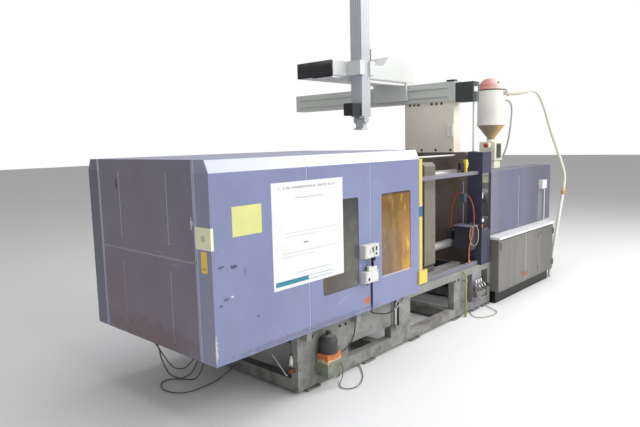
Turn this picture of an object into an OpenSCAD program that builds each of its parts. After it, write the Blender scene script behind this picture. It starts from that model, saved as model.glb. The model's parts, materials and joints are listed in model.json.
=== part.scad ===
/* [Layout] */
// Height of the barrel axis above the floor
axis_h = 1260; // [1240:5:1300]
// From the clamp end cover to the mould face of the fixed platen
clamp_len = 4170; // [4100:10:4300]
// Width over the front and rear covers
cover_w = 1720; // [1700:10:1780]
// Underside of the clamp covers above the floor
cover_low = 570; // [566:1:590]
// Room between the platens and the top of the clamp covers
cover_over = 70; // [50:5:120]

/* [Covers] */
// Thickness of the cover sheet
sheet = 4; // [3:0.5:6]
// Depth of the sloped edge along the cover top
slope_y = 45; // [30:5:70]
// Height of the sloped edge along the cover top
slope_z = 94; // [70:2:120]
// Width of the strip that each side cover folds over the top
fold_w = 150; // [120:5:165]
// Gap between neighbouring cover panels
panel_gap = 3; // [2:0.5:5]
// Length of the side cover at the clamp end
end_cover_len = 973; // [930:1:1000]
// Length of the side cover with the smoked window
window_cover_len = 829; // [780:1:860]
// Length of the sliding gate
gate_len = 803; // [740:1:830]
// Width of the corner that each side cover folds over the end
corner_w = 175; // [140:5:220]
// Height of the joint between the two end panels
end_joint_h = 1296; // [1250:2:1350]
// Distance of the pressed ribs from the middle of the end panels
rib_y = 345; // [300:5:400]
// Radius of the pressed ribs
rib_r = 6; // [4:0.5:8]

/* [Windows and gate] */
// Width of a window
window_w = 485; // [420:5:510]
// Height of a window
window_h = 800; // [700:10:850]
// Distance of a window from the left edge of its panel
window_in = 157; // [140:1:170]
// Height of the lower window edge above the floor
window_low = 838; // [800:2:880]
// Corner radius of a window
window_r = 25; // [15:1:40]
// Thickness of the window panes
pane = 5; // [3:0.5:8]
// Overlap of a pane behind its panel
pane_lap = 20; // [12:1:30]
// Radius of the gate rollers
roller_r = 30; // [24:1:36]
// Width of the yellow edge strip
edge_w = 55; // [40:1:70]
// Distance between the open front gate and the fixed platen
gate_stop = 300; // [250:5:420]

/* [Bed] */
// Top of the bed above the floor
bed_top = 560; // [550:1:562]
// Half width over the bed sides
bed_y = 740; // [720:5:760]
// Thickness of a bed side
bed_side = 80; // [60:5:100]
// Start of the bed measured from the clamp end cover
bed_in = 920; // [890:5:925]
// Height of the levelling feet
foot_h = 30; // [24:1:40]
// Height of the lower beam of the bed
beam_h = 100; // [80:5:110]
// Width of a slide way for the moving platen
way_w = 100; // [80:5:120]
// Height of a slide way
way_h = 30; // [24:1:40]

/* [Clamp] */
// Width of the platens
platen_w = 1120; // [1080:5:1180]
// Thickness of the fixed platen
fixed_t = 235; // [215:5:240]
// Thickness of the moving platen
moving_t = 230; // [200:5:250]
// Thickness of the cylinder platen
cylinder_t = 280; // [240:5:300]
// Daylight between the platens as shown
daylight = 760; // [720:5:800]
// Half spacing of the tie bars across the machine
tie_y = 380; // [370:5:395]
// Half spacing of the tie bars upwards
tie_z = 440; // [430:5:455]
// Radius of the tie bars
tie_r = 50; // [44:1:54]
// Radius of the clamp ram
ram_r = 230; // [210:5:232]
// Radius over the clamp cylinder
clamp_cyl_r = 330; // [300:5:350]
// Length of the clamp cylinder behind its platen
clamp_cyl_len = 840; // [780:5:860]
// Bore for the locating ring in the fixed platen
locating_r = 50.8; // [50:0.1:52]
// Depth of the locating bore
locating_depth = 25; // [15:1:28]
// Half spacing of the mould bolts across the machine
bolt_y = 203.2; // [150:0.1:210]
// Half spacing of the mould bolts upwards
bolt_z = 254; // [230:0.1:270]
// Radius of the tapped mould bolt holes
bolt_r = 8; // [6:0.5:10]
// Half spacing of the ejector rods across the machine
knock_y = 279.4; // [275:0.1:290]
// Half spacing of the ejector rods upwards
knock_z = 101.6; // [80:0.1:120]
// Radius of the ejector rods
knock_r = 19; // [15:0.5:22]

/* [Injection] */
// Radius over the barrel
barrel_r = 95; // [85:1:100]
// Radius of the screw bore
screw_r = 35; // [30:0.5:40]
// Distance of the hopper axis from the mould face
hopper_x = 1780; // [1760:5:1800]
// Length of the feed block
feed_len = 280; // [260:5:300]
// Shot stroke of the screw
shot = 190; // [160:5:195]
// Travel of the injection carriage
carriage_travel = 250; // [200:5:260]
// Start of the covers over the injection unit
inj_cover_x = 385; // [380:5:400]
// Length of the injection covers
inj_cover_len = 1705; // [1650:5:1720]
// Distance of the injection covers from the centre line
inj_cover_y = 690; // [660:5:720]
// Place of the seam between the injection cover panels
inj_seam = 890; // [840:5:930]
// Length of the recessed panel beside the injection drive
inj_end_len = 340; // [280:10:380]
// Height of the injection covers over the floor
inj_high = 1700; // [1690:5:1730]
// Width of the top strips of the injection covers
inj_top_w = 370; // [340:5:380]
// Start of the power cabinet from the mould face
cabinet_x = 280; // [270:2:300]
// Length of the power cabinet
cabinet_len = 1820; // [1780:5:1860]
// Top of the power cabinet above the floor
cabinet_high = 870; // [850:2:880]
// Height of the plinth under the power cabinet
plinth_h = 150; // [120:5:170]
// Width of the left cabinet door
door_left_w = 1290; // [1240:5:1300]

/* [Hopper] */
// Radius of the loader body
loader_r = 205; // [190:1:215]
// Wall of the loader body
loader_wall = 4; // [3:0.5:6]
// Height of the straight loader body
loader_h = 530; // [490:5:560]
// Height of the loader cone
cone_h = 215; // [190:5:230]
// Radius at the foot of the loader cone
cone_r = 48; // [40:1:56]
// Side of the sight box under the cone
sight_w = 250; // [220:5:270]
// Height of the sight box
sight_h = 280; // [250:5:300]
// Height of the throat block on the feed block
throat_h = 340; // [320:5:360]
// Height of the loader lid
lid_h = 160; // [140:5:180]

/* [Robot] */
// Width of the riser on the fixed platen
riser_w = 730; // [680:5:760]
// Depth of the riser
riser_d = 170; // [150:5:190]
// Height of the riser
riser_h = 640; // [600:5:660]
// Height of the traverse beam
beam_z = 240; // [220:5:250]
// Depth of the traverse beam
beam_x = 200; // [180:5:210]
// Length of the traverse beam behind the end box
traverse_len = 2770; // [2700:10:2900]
// Width of the side arm housing
housing_w = 560; // [520:5:580]
// Length of the side arm housing in front of the beam
housing_len = 1550; // [1500:5:1600]
// Height of the side arm housing
housing_h = 175; // [160:5:185]
// Side of the square arm
arm_w = 160; // [140:5:170]
// Length of the arm
arm_len = 1740; // [1600:10:1900]

/* [Hidden] */
$fn = 48;

clearance = 0.3;
x_end = -clamp_len;
x_seam_a = x_end + end_cover_len;
x_seam_b = x_seam_a + window_cover_len;
x_gate = x_seam_b + gate_len;
y_cover = cover_w / 2;
x_bed = x_end + bed_in;
x_bed_end = cabinet_x;
bed_len = x_bed_end - x_bed;
platen_h = 2 * (axis_h - bed_top);
platen_top = bed_top + platen_h;
cover_high = platen_top + cover_over;
x_moving = -daylight - moving_t;
x_stop = -gate_stop - 10;
x_cyl = x_bed + 10;
cabinet_y = y_cover;
x_cabinet_end = cabinet_x + cabinet_len;
x_feed = hopper_x - feed_len / 2;
x_drive = x_feed + feed_len + shot + 10;
feed_high = axis_h + 190;
throat_top = feed_high + throat_h;
cone_low = throat_top + sight_h + 35;
body_low = cone_low + cone_h;
body_high = body_low + loader_h;
riser_top = platen_top + riser_h;
beam_top = riser_top + beam_z;

// Moves the shop frame, with its floor at zero, onto the barrel axis
module on_axis() {
  translate([0, 0, -axis_h]) children();
}

// Extrudes a profile drawn across the machine along its length
module along_x(x, len) {
  translate([x, 0, 0]) rotate([90, 0, 90]) linear_extrude(len) children();
}

// Cylinder along the machine
module rod_x(x, len, r, y = 0, z = axis_h) {
  translate([x, y, z]) rotate([0, 90, 0]) cylinder(h = len, r = r);
}

// Box given by its low corner and its size
module block(at, size) {
  translate(at) cube(size);
}

// Both sides of the machine
module both_sides() {
  children();
  mirror([0, 1, 0]) children();
}

// Rectangle with round corners
module round_rect(w, h, r) {
  translate([r, 0]) square([w - 2 * r, h]);
  translate([0, r]) square([w, h - 2 * r]);
  for (x = [r, w - r], y = [r, h - r]) translate([x, y]) circle(r);
}

// Plate that stands upright along the machine, from y to y + t
module plate_xz(y, t) {
  translate([0, y + t, 0]) rotate([90, 0, 0]) linear_extrude(t) children();
}

// Cylinder across the machine
module rod_y(x, y, z, len, r) {
  translate([x, y + len, z]) rotate([90, 0, 0]) cylinder(h = len, r = r);
}

// The four tie bar places
module at_tie_bars() {
  for (sy = [-1, 1], sz = [-1, 1]) translate([0, sy * tie_y, sz * tie_z]) children();
}

moving_low = bed_top + way_h + clearance;
shoe_h = 60;
moving_h = 2 * (axis_h - moving_low - shoe_h);
bed_inner = bed_y - bed_side;
bed_blue = [0.60, 0.60, 0.64];
cover_blue = [0.55, 0.58, 0.76];
dark_steel = [0.22, 0.23, 0.30];
bright_steel = [0.78, 0.79, 0.80];
machine_grey = [0.52, 0.53, 0.55];

// Side frame seen from the front, with its openings
module bed_outline() {
  slot_x = x_bed + 662;
  window_x = x_moving - 570;
  high = bed_top - bed_side;
  low = foot_h + beam_h;
  difference() {
    translate([x_bed, foot_h]) square([x_bed_end - x_bed, bed_top - foot_h]);
    translate([slot_x, low + 10]) square([680, 130]);
    translate([window_x, low]) square([920, high - low]);
    translate([-320, low]) square([126, high - low]);
    translate([45, low]) square([165, high - low]);
  }
}

module bed_sides() {
  color(machine_grey) on_axis() both_sides() plate_xz(-bed_y, bed_side) bed_outline();
}

module bed_cross_beams() {
  color(machine_grey) on_axis() {
    for (x = [x_bed, x_bed + 0.326 * bed_len, x_bed + 0.722 * bed_len, x_bed_end - 100])
      block([x, -bed_inner, foot_h], [100, 2 * bed_inner, beam_h]);
    for (x = [x_cyl + cylinder_t + 40, x_bed + 0.382 * bed_len, -200])
      block([x, -bed_inner, bed_top - 200], [100, 2 * bed_inner, 120]);
    block([x_cyl, -bed_inner, bed_top - 120], [cylinder_t, 2 * bed_inner, 120]);
    block([0, -bed_inner, bed_top - 120], [fixed_t, 2 * bed_inner, 120]);
  }
}

feet_left = [185, 985, 1790];
feet_right = [845, 375, 110];
foot_pad = 170;

module leveling_feet() {
  pad_h = foot_h / 2;
  color([0.35, 0.35, 0.37]) on_axis() both_sides()
    for (x = [each [for (d = feet_left) x_bed + d], each [for (d = feet_right) x_bed_end - d]]) {
      block([x - foot_pad / 2, -bed_y - 10, 0], [foot_pad, 110, pad_h]);
      translate([x, -bed_y + bed_side / 2, pad_h]) cylinder(h = foot_h - pad_h, r = 22);
    }
}

way_y = 530;
way_gap = 110;

module slide_ways() {
  color(bright_steel) on_axis() both_sides()
    block([x_cyl + cylinder_t + 60, -way_y, bed_top - 80], [-way_gap - x_cyl - cylinder_t - 60, way_w, 80 + way_h]);
}

// Platen outline across the machine, with cut corners
module platen_outline(w, h, cut) {
  polygon([
    [-w / 2, axis_h - h / 2 + cut], [-w / 2, axis_h + h / 2 - cut],
    [-w / 2 + cut, axis_h + h / 2], [w / 2 - cut, axis_h + h / 2],
    [w / 2, axis_h + h / 2 - cut], [w / 2, axis_h - h / 2 + cut],
    [w / 2 - cut, axis_h - h / 2], [-w / 2 + cut, axis_h - h / 2]
  ]);
}

module tie_bar_bores(x, len) {
  at_tie_bars() rod_x(x - 1, len + 2, tie_r + clearance);
}

// Tapped holes for mould bolts, on a grid around the main four
module mould_bolt_holes(x) {
  for (sy = [-1, 1], fy = [0.5, 1], sz = [-1, 1], fz = [0.5, 1, 1.5])
    rod_x(x, 41, bolt_r, sy * fy * bolt_y, axis_h + sz * fz * bolt_z);
}

module fixed_platen() {
  color(dark_steel) on_axis() difference() {
    along_x(0, fixed_t) platen_outline(platen_w, platen_h, 40);
    tie_bar_bores(0, fixed_t);
    mould_bolt_holes(-1);
    rod_x(-1, locating_depth + 1, locating_r);
    translate([0, 0, axis_h]) rotate([0, 90, 0]) rotate_extrude()
      polygon([[0, locating_depth - 1], [46, locating_depth - 1], [46, 90],
        [190, fixed_t + 1], [0, fixed_t + 1]]);
  }
}

module cylinder_platen() {
  color(dark_steel) on_axis() difference() {
    along_x(x_cyl, cylinder_t) platen_outline(platen_w, platen_h, 40);
    tie_bar_bores(x_cyl, cylinder_t);
    rod_x(x_cyl - 1, cylinder_t + 2, ram_r + clearance);
  }
}

module tie_bars() {
  color(bright_steel) on_axis() at_tie_bars()
    rod_x(x_cyl - 130, -x_cyl + fixed_t + 260, tie_r);
}

module tie_bar_nuts() {
  color([0.45, 0.46, 0.48]) on_axis() at_tie_bars() for (x = [x_cyl - 110, fixed_t])
    difference() {
      rod_x(x, 110, 85);
      rod_x(x - 1, 112, tie_r + clearance);
    }
}

module clamp_cylinder() {
  color(machine_grey) on_axis() difference() {
    union() {
      rod_x(x_cyl - clamp_cyl_len, clamp_cyl_len, clamp_cyl_r - 30);
      rod_x(x_cyl - 90, 90, clamp_cyl_r);
      rod_x(x_cyl - clamp_cyl_len, 70, clamp_cyl_r);
    }
    rod_x(x_cyl - clamp_cyl_len + 60, clamp_cyl_len, ram_r + clearance);
  }
}

module moving_platen() {
  pocket = [moving_t - 90, 150, 200];
  color([0.72, 0.73, 0.75]) on_axis() {
    difference() {
      along_x(x_moving, moving_t) platen_outline(platen_w, moving_h, 40);
      tie_bar_bores(x_moving, moving_t);
      mould_bolt_holes(-daylight - 40);
      for (sy = [-1, 1], sz = [-1, 1])
        rod_x(x_moving - 1, moving_t + 2, knock_r + clearance, sy * knock_y, axis_h + sz * knock_z);
      for (sy = [-1, 1], sz = [-1, 1])
        translate([x_moving - 1, sy * 180, axis_h + sz * 430])
          translate([0, -pocket[1] / 2, -pocket[2] / 2]) cube(pocket);
    }
    both_sides() block([x_moving - 60, -way_y, moving_low], [moving_t + 90, way_w, shoe_h]);
  }
}

module clamp_ram() {
  tail = x_cyl - 240;
  color(bright_steel) on_axis() rod_x(tail, x_moving - tail, ram_r);
}

module ejector_plate() {
  back = x_moving - 220;
  color(machine_grey) on_axis() {
    difference() {
      block([back, -340, axis_h - 280], [40, 680, 560]);
      rod_x(back - 1, 42, ram_r + 10);
    }
    for (sy = [-1, 1], sz = [-1, 1])
      rod_x(back + 40, moving_t + 170, knock_r, sy * knock_y, axis_h + sz * knock_z);
  }
}

// Profile of a side cover: upright face, sloped edge and folded strip
module fold_profile() {
  turn = atan(slope_y / slope_z);
  slope_low = cover_high - slope_z;
  lower_shift = sheet * tan(turn / 2);
  upper_shift = sheet * tan((90 - turn) / 2);
  polygon([
    [-y_cover, cover_low], [-y_cover, slope_low], [-y_cover + slope_y, cover_high],
    [-y_cover + fold_w, cover_high], [-y_cover + fold_w, cover_high - sheet],
    [-y_cover + slope_y + upper_shift, cover_high - sheet],
    [-y_cover + sheet, slope_low - lower_shift], [-y_cover + sheet, cover_low]
  ]);
}

module side_cover(x, len) {
  along_x(x, len) fold_profile();
}

module end_cover() {
  side_cover(x_end, end_cover_len - panel_gap);
  along_x(x_end, sheet) polygon([
    [-y_cover, cover_low], [-y_cover, cover_high - slope_z], [-y_cover + slope_y, cover_high],
    [-y_cover + corner_w, cover_high], [-y_cover + corner_w, cover_low]
  ]);
}

module front_end_cover() {
  color(cover_blue) on_axis() end_cover();
}

module rear_end_cover() {
  color(cover_blue) on_axis() mirror([0, 1, 0]) end_cover();
}

// End panel between two heights, with its two pressed ribs
module end_panel(low, high) {
  half = y_cover - corner_w - panel_gap;
  block([x_end, -half, low], [sheet, 2 * half, high - low]);
  for (y = [-rib_y, rib_y])
    translate([x_end + sheet / 2, y, low + 90]) cylinder(h = high - low - 180, r = rib_r);
}

module end_panel_upper() {
  color(cover_blue) on_axis() end_panel(end_joint_h + panel_gap, cover_high);
}

module end_panel_lower() {
  color(cover_blue) on_axis() end_panel(cover_low, end_joint_h);
}

// Cutter for a window in the panel that starts at x
module window_cut(x) {
  plate_xz(-y_cover - 1, sheet + 2) translate([x + window_in, window_low])
    round_rect(window_w, window_h, window_r);
}

module window_pane(x) {
  plate_xz(-y_cover + sheet, pane)
    translate([x + window_in - pane_lap, window_low - pane_lap])
      round_rect(window_w + 2 * pane_lap, window_h + 2 * pane_lap, window_r);
}

module window_cover() {
  color(cover_blue) on_axis() difference() {
    side_cover(x_seam_a, window_cover_len - panel_gap);
    window_cut(x_seam_a);
  }
}

module smoked_window() {
  color([0.25, 0.26, 0.30, 0.8]) on_axis() window_pane(x_seam_a);
}

module rear_cover() {
  color(cover_blue) on_axis() mirror([0, 1, 0])
    side_cover(x_seam_a, window_cover_len + gate_len);
}

module top_cover() {
  half = y_cover - fold_w - panel_gap;
  color(cover_blue) on_axis()
    block([x_end + sheet + panel_gap, -half, cover_high - sheet],
      [x_gate - x_end - sheet - panel_gap, 2 * half, sheet]);
}

tube = 40;
leaf_gap = 10;
post_y = -y_cover + sheet + leaf_gap + sheet;
tube_low = cover_low + 10;
tube_high = cover_high - slope_z - 50;

// Upright frame across the machine at x, which carries the covers
module portal(x) {
  both_sides() {
    block([x, post_y, tube_low], [tube, tube, tube_high - tube_low + 30]);
    block([x, post_y + tube, tube_high - 60], [tube, tube, cover_high - sheet - tube_high + 60]);
  }
  block([x, post_y + tube, cover_high - sheet - tube], [tube, -2 * post_y - 2 * tube, tube]);
}

module cover_frame() {
  rail_len = x_seam_b - panel_gap - x_end - sheet;
  color(machine_grey) on_axis() {
    portal(x_end + sheet);
    portal(x_seam_a - panel_gap - tube);
    portal(x_seam_b - panel_gap - tube);
    block([x_end + sheet, post_y, tube_low], [tube, -2 * post_y, tube]);
    both_sides() {
      block([x_end + sheet, -y_cover + sheet, tube_low], [rail_len, tube, tube]);
      block([x_end + sheet, -y_cover + sheet, tube_high], [rail_len, tube, 30]);
      for (x = [x_bed + 40, x_bed + 700])
        block([x, -y_cover + sheet + tube, 480], [60, y_cover - sheet - tube - bed_y, tube_low + tube - 480]);
    }
  }
}

rail_y = -bed_y + 30;
rail_w = 50;
lower_rail_h = 50;
upper_rail_low = 1690;
upper_rail_h = 40;
rail_in = 50;
roller_axis_z = bed_top + lower_rail_h + clearance + roller_r;
pin_r = 8;
leaf_len = 480;
gate_low = window_low - 190;
gate_high = tube_high - 6;
roller_xs = [x_seam_b + 90, x_gate - 90];
guide_xs = [x_seam_b + 60, x_gate - 120];

// Arm, cheek and axle that hold one roller
module roller_bracket(x) {
  arm_z = roller_axis_z + roller_r + 10;
  block([x - 30, -y_cover + sheet, arm_z], [60, y_cover - sheet + rail_y, 8]);
  block([x - 30, rail_y - 8, roller_axis_z - 15], [60, 8, arm_z + 8 - roller_axis_z + 15]);
  rod_y(x, rail_y, roller_axis_z, rail_w - 4, pin_r);
}

// Arm that reaches over the upper rail, with a lip behind it
module guide_bracket(x) {
  arm_z = upper_rail_low + upper_rail_h + 20;
  lip_y = rail_y + rail_w + 2;
  block([x, -y_cover + sheet, arm_z], [60, y_cover - sheet + lip_y + 6, 8]);
  block([x, lip_y, upper_rail_low + 10], [60, 6, arm_z - upper_rail_low - 2]);
}

module gate() {
  color(cover_blue) on_axis() {
    difference() {
      side_cover(x_seam_b, gate_len);
      window_cut(x_seam_b);
    }
    block([x_seam_b - leaf_len, -y_cover + leaf_gap, gate_low], [leaf_len + 30, sheet, gate_high - gate_low]);
    block([x_seam_b, -y_cover + sheet, gate_low], [30, leaf_gap - sheet, gate_high - gate_low]);
    for (x = roller_xs) roller_bracket(x);
    for (x = guide_xs) guide_bracket(x);
  }
}

module gate_window() {
  color([0.95, 0.65, 0.15, 0.6]) on_axis() window_pane(x_seam_b);
}

module gate_edge() {
  low = gate_low + 100;
  color([0.93, 0.88, 0.35]) on_axis() {
    block([x_gate, -y_cover, low], [edge_w, 20, cover_high - slope_z - low]);
    block([x_gate - 30, -y_cover - 20, low - 100], [150, 20, 140]);
    block([x_gate, -y_cover, low - 100], [edge_w, 20, 140]);
  }
}

module gate_roller(x) {
  color([0.90, 0.90, 0.88]) on_axis() difference() {
    rod_y(x, rail_y + 6, roller_axis_z, rail_w - 14, roller_r);
    rod_y(x, rail_y + 5, roller_axis_z, rail_w - 12, pin_r + 0.05);
  }
}

module gate_roller_front() {
  gate_roller(roller_xs[1]);
}

module gate_roller_rear() {
  gate_roller(roller_xs[0]);
}

module gate_rails() {
  left = x_seam_b - rail_in;
  color(cover_blue) on_axis() {
    block([left, rail_y, bed_top], [-left, rail_w, lower_rail_h]);
    block([left, rail_y, upper_rail_low], [-left, rail_w, upper_rail_h]);
    block([left, post_y + tube, upper_rail_low], [tube, rail_y - post_y - tube, upper_rail_h]);
  }
  color([0.90, 0.80, 0.10]) on_axis() {
    block([x_stop, rail_y + 5, upper_rail_low + upper_rail_h + 50], [50, 35, 100]);
    block([x_stop + 10, rail_y + 10, upper_rail_low + upper_rail_h], [30, 25, 60]);
    rod_x(x_stop + 50, 35, 9, rail_y + 22, upper_rail_low + upper_rail_h + 100);
  }
}

guard_high = 1700;
guard_low = 980;
guard_y = -y_cover + 100;
guard_d = -guard_y - platen_w / 2;

module guard_post() {
  color(dark_steel) on_axis() {
    block([0, guard_y, guard_high], [fixed_t, guard_d, platen_top - guard_high]);
    block([0, guard_y, guard_low], [6, guard_d, guard_high - guard_low]);
    block([0, guard_y, bed_top], [fixed_t, guard_d, guard_low - bed_top]);
  }
}

rear_gate_x = x_gate + 5;
rear_gate_len = -160 - rear_gate_x;
rear_gate_low = bed_top + 32 + clearance;
rear_gate_h = cover_high - 74 - rear_gate_low;
rear_slot = 8;

module rear_gate() {
  skin_y = y_cover + 8;
  color(cover_blue) on_axis() {
    block([rear_gate_x, skin_y, rear_gate_low], [rear_gate_len, sheet, rear_gate_h]);
    for (x = [100, rear_gate_len / 2, rear_gate_len - 140])
      block([rear_gate_x + x, skin_y + sheet, rear_gate_low + 48], [30, 10, rear_gate_h - 124]);
    block([rear_gate_x + rear_gate_len - 90, skin_y + sheet, axis_h - 110], [20, 30, 200]);
  }
}

module rear_gate_rails() {
  far = rear_gate_x + rear_gate_len + 10;
  start = x_seam_a + 240;
  slot_y = y_cover + 6;
  rail_top = rear_gate_low + rear_gate_h - 56;
  color(machine_grey) on_axis() {
    difference() {
      union() {
        block([start, y_cover, bed_top], [far - start, 20, 52]);
        block([start, y_cover, rail_top], [far - start, 20, 70]);
        block([far, bed_y - 40, bed_top], [40, y_cover + 20 - bed_y + 40, rail_top + 70 - bed_top]);
      }
      block([start - 1, slot_y, bed_top + 32], [far - start + 1, rear_slot, 30]);
      block([start - 1, slot_y, rail_top - 1], [far - start + 1, rear_slot, 59]);
    }
  }
}

module interlock_switches() {
  color([0.88, 0.88, 0.86]) on_axis() {
    block([x_seam_b - 175, -y_cover - 60, 1080], [210, 58, 120]);
    block([x_seam_b - 175, -y_cover - 2, 1080], [170, 2, 120]);
  }
  color([0.55, 0.56, 0.58]) on_axis() {
    block([x_seam_b - 165, -y_cover - 55, 850], [190, 53, 105]);
    block([x_seam_b - 165, -y_cover - 2, 850], [160, 2, 105]);
  }
}

module lube_unit() {
  x = x_bed + 300;
  y = -bed_y - 85;
  color([0.72, 0.75, 0.70]) on_axis() {
    block([x - 80, y - 57, 120], [160, 142, 120]);
    block([x - 60, y + 60, 240], [120, 25, 60]);
  }
  color([0.72, 0.36, 0.18]) on_axis() block([x - 88, y - 62, 240], [176, 120, 80]);
  color([0.15, 0.17, 0.16]) on_axis() translate([x, y, 320]) rotate_extrude()
    polygon([[0, 0], [80, 0], [80, 110], [60, 150], [25, 165], [0, 165]]);
}

lever_pin_r = 5;

module water_manifold() {
  y = -bed_y - 60;
  color([0.70, 0.70, 0.66]) on_axis() {
    block([-185, y, 190], [220, 60, 60]);
    for (x = [-160, -95, -30]) {
      translate([x, y + 30, 250]) cylinder(h = 45, r = 18);
      translate([x, y + 30, 295]) cylinder(h = 25, r = 26);
    }
    rod_x(35, 50, 20, y + 30, 220);
    translate([65, y + 30, 220]) cylinder(h = 50, r = 12);
    translate([65, y + 30, 220]) cylinder(h = 64, r = lever_pin_r);
  }
}

module valve_lever() {
  y = -bed_y - 30;
  color([0.10, 0.10, 0.12]) on_axis() {
    difference() {
      block([50, y - 11, 270 + clearance], [120, 22, 10]);
      translate([65, y, 260]) cylinder(h = 40, r = lever_pin_r + 0.05);
    }
    translate([170, y, 262]) cylinder(h = 34, r = 16);
  }
}

box_low = 760;
box_high = 1050;
hose_r = 9;
port_z = 970;

manifold_len = 170;
manifold_w = 220;

module hose_manifold() {
  color(dark_steel) on_axis() {
    block([-manifold_len, guard_y + 60, box_low], [manifold_len, manifold_w, box_high - box_low]);
    for (y = [guard_y + 70, guard_y + 110])
      translate([-70, y, box_high + 12]) cylinder(h = 30, r = 12);
    translate([-120, guard_y + 190, box_high + 12]) cylinder(h = 540, r = 8);
    block([-150, guard_y + 160, 1350], [72, 60, 110]);
    block([-110, -410, port_z - 90], [110, 70, 90]);
    translate([-70, -375, port_z]) cylinder(h = 30, r = 12);
  }
  color(cover_blue) on_axis() block([-manifold_len - 20, guard_y + 40, box_high], [manifold_len + 20, manifold_w + 30, 12]);
}

// Centre line of the red water hose, in the shop frame
hose_points = [
  [-70, -690, 1092], [-70, -690, 1200], [-69, -675, 1300], [-67, -635, 1390], [-66, -570, 1445], [-66, -510, 1458],
  [-66, -450, 1430], [-67, -402, 1340], [-69, -380, 1220], [-70, -375, 1100], [-70, -375, 1000]
];

// Vector of length one
function unit(v) = v / norm(v);

// Points of one tube ring around a direction
function ring(p, d, r, n, side) =
  let (a = unit(cross(d, side)), b = cross(d, a))
  [for (i = [0:n - 1]) p + r * (cos(i * 360 / n) * a + sin(i * 360 / n) * b)];

// Direction of the route at one of its points
function heading(pts, i) =
  unit(pts[min(i + 1, len(pts) - 1)] - pts[max(i - 1, 0)]);

// Point of a smooth curve through four neighbours
function curve(p0, p1, p2, p3, t) =
  0.5 * (2 * p1 + (p2 - p0) * t + (2 * p0 - 5 * p1 + 4 * p2 - p3) * t * t
    + (3 * p1 - p0 - 3 * p2 + p3) * t * t * t);
function smooth(pts, steps) = let (n = len(pts)) concat(
  [for (i = [0:n - 2], k = [0:steps - 1])
    curve(pts[max(i - 1, 0)], pts[i], pts[i + 1], pts[min(i + 2, n - 1)], k / steps)],
  [pts[n - 1]]);

// Tube swept along a route that never runs along the side direction
module sweep_tube(route, r, n, steps, side) {
  pts = smooth(route, steps);
  m = len(pts);
  rings = [for (i = [0:m - 1]) each ring(pts[i], heading(pts, i), r, n, side)];
  sides = [for (i = [0:m - 2], j = [0:n - 1])
    let (k = (j + 1) % n) [i * n + j, (i + 1) * n + j, (i + 1) * n + k, i * n + k]];
  caps = [[for (j = [0:n - 1]) j], [for (j = [n - 1:-1:0]) (m - 1) * n + j]];
  polyhedron(rings, concat(sides, caps));
}

module water_hose() {
  color([0.75, 0.25, 0.22]) on_axis() sweep_tube(hose_points, hose_r, 8, 3, [1, 0, 0]);
}

knuckle_r = 7;
hinge_pin_r = 4;
door_t = 8;
door_y = -cabinet_y;
hinge_y = door_y - knuckle_r - 2;
hinge_left = cabinet_x + door_left_w + knuckle_r;
hinge_right = x_cabinet_end - 10;
hinge_zs = [260, 730];
lid_t = 30;
nut_bay = 100;
cabinet_wall = 12;
base_frame = 70;

// Body outline of the power cabinet, with its round lower corner
module cabinet_outline() {
  translate([cabinet_x + 60, plinth_h]) square([cabinet_len - 60, cabinet_high - lid_t - plinth_h]);
  translate([cabinet_x, plinth_h + 60]) square([cabinet_len - 60, cabinet_high - lid_t - plinth_h - 60]);
  translate([cabinet_x + 60, plinth_h + 60]) circle(60);
}

module power_cabinet() {
  front = door_y + door_t;
  color([0.66, 0.66, 0.65]) on_axis() {
    difference() {
      block([cabinet_x + 40, -cabinet_y + 60, 0], [cabinet_len - 80, 2 * cabinet_y - 120, plinth_h]);
      block([cabinet_x + 40 + base_frame, -cabinet_y + 60 + base_frame, -1],
        [cabinet_len - 80 - 2 * base_frame, 2 * cabinet_y - 120 - 2 * base_frame, plinth_h + 1]);
    }
    difference() {
      union() {
        plate_xz(front, cabinet_y - front) cabinet_outline();
        block([cabinet_x, -cabinet_y - 10, cabinet_high - lid_t], [cabinet_len + 10, 2 * cabinet_y + 20, lid_t]);
      }
      block([cabinet_x - 1, -tie_y - 100, cabinet_high - 170], [nut_bay + 1, 2 * tie_y + 200, 171]);
      for (bay = [[cabinet_x + nut_bay, hinge_left - 17], [hinge_left + 17, hinge_right - 14]])
        block([bay[0] + cabinet_wall, front - 1, plinth_h + cabinet_wall],
          [bay[1] - bay[0] - cabinet_wall, cabinet_y - cabinet_wall - front + 1,
            cabinet_high - lid_t - plinth_h - 2 * cabinet_wall]);
    }
    for (x = [hinge_left, hinge_right], z = hinge_zs) {
      block([x - knuckle_r, hinge_y, z - 15], [2 * knuckle_r, front - hinge_y, 30]);
      translate([x, hinge_y, z - 15]) cylinder(h = 30, r = knuckle_r);
      translate([x, hinge_y, z - 44]) cylinder(h = 88, r = hinge_pin_r);
    }
  }
}

// Door that reaches from x to the hinge, with its sleeves
module cabinet_door(x, hinge_x) {
  low = plinth_h + 15;
  difference() {
    union() {
      block([x, door_y, low], [hinge_x - x, door_t, cabinet_high - lid_t - 15 - low]);
      for (z = hinge_zs, s = [-1, 1]) {
        translate([hinge_x, hinge_y, z + s * 30 - 14.7]) cylinder(h = 29.4, r = knuckle_r);
        block([hinge_x - knuckle_r, hinge_y, z + s * 30 - 14.7], [knuckle_r, door_y - hinge_y + 1, 29.4]);
      }
    }
    for (z = hinge_zs) {
      block([hinge_x - knuckle_r - 2, hinge_y - 10, z - 15.3], [knuckle_r + 3, 30, 30.6]);
      translate([hinge_x, hinge_y, z - 60]) cylinder(h = 120, r = hinge_pin_r + 0.05);
    }
  }
}

module cabinet_door_left() {
  color([0.76, 0.76, 0.75]) on_axis() {
    cabinet_door(cabinet_x + 20, hinge_left);
    block([cabinet_x + 40, door_y - 14, 700], [28, 14, 100]);
  }
}

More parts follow.
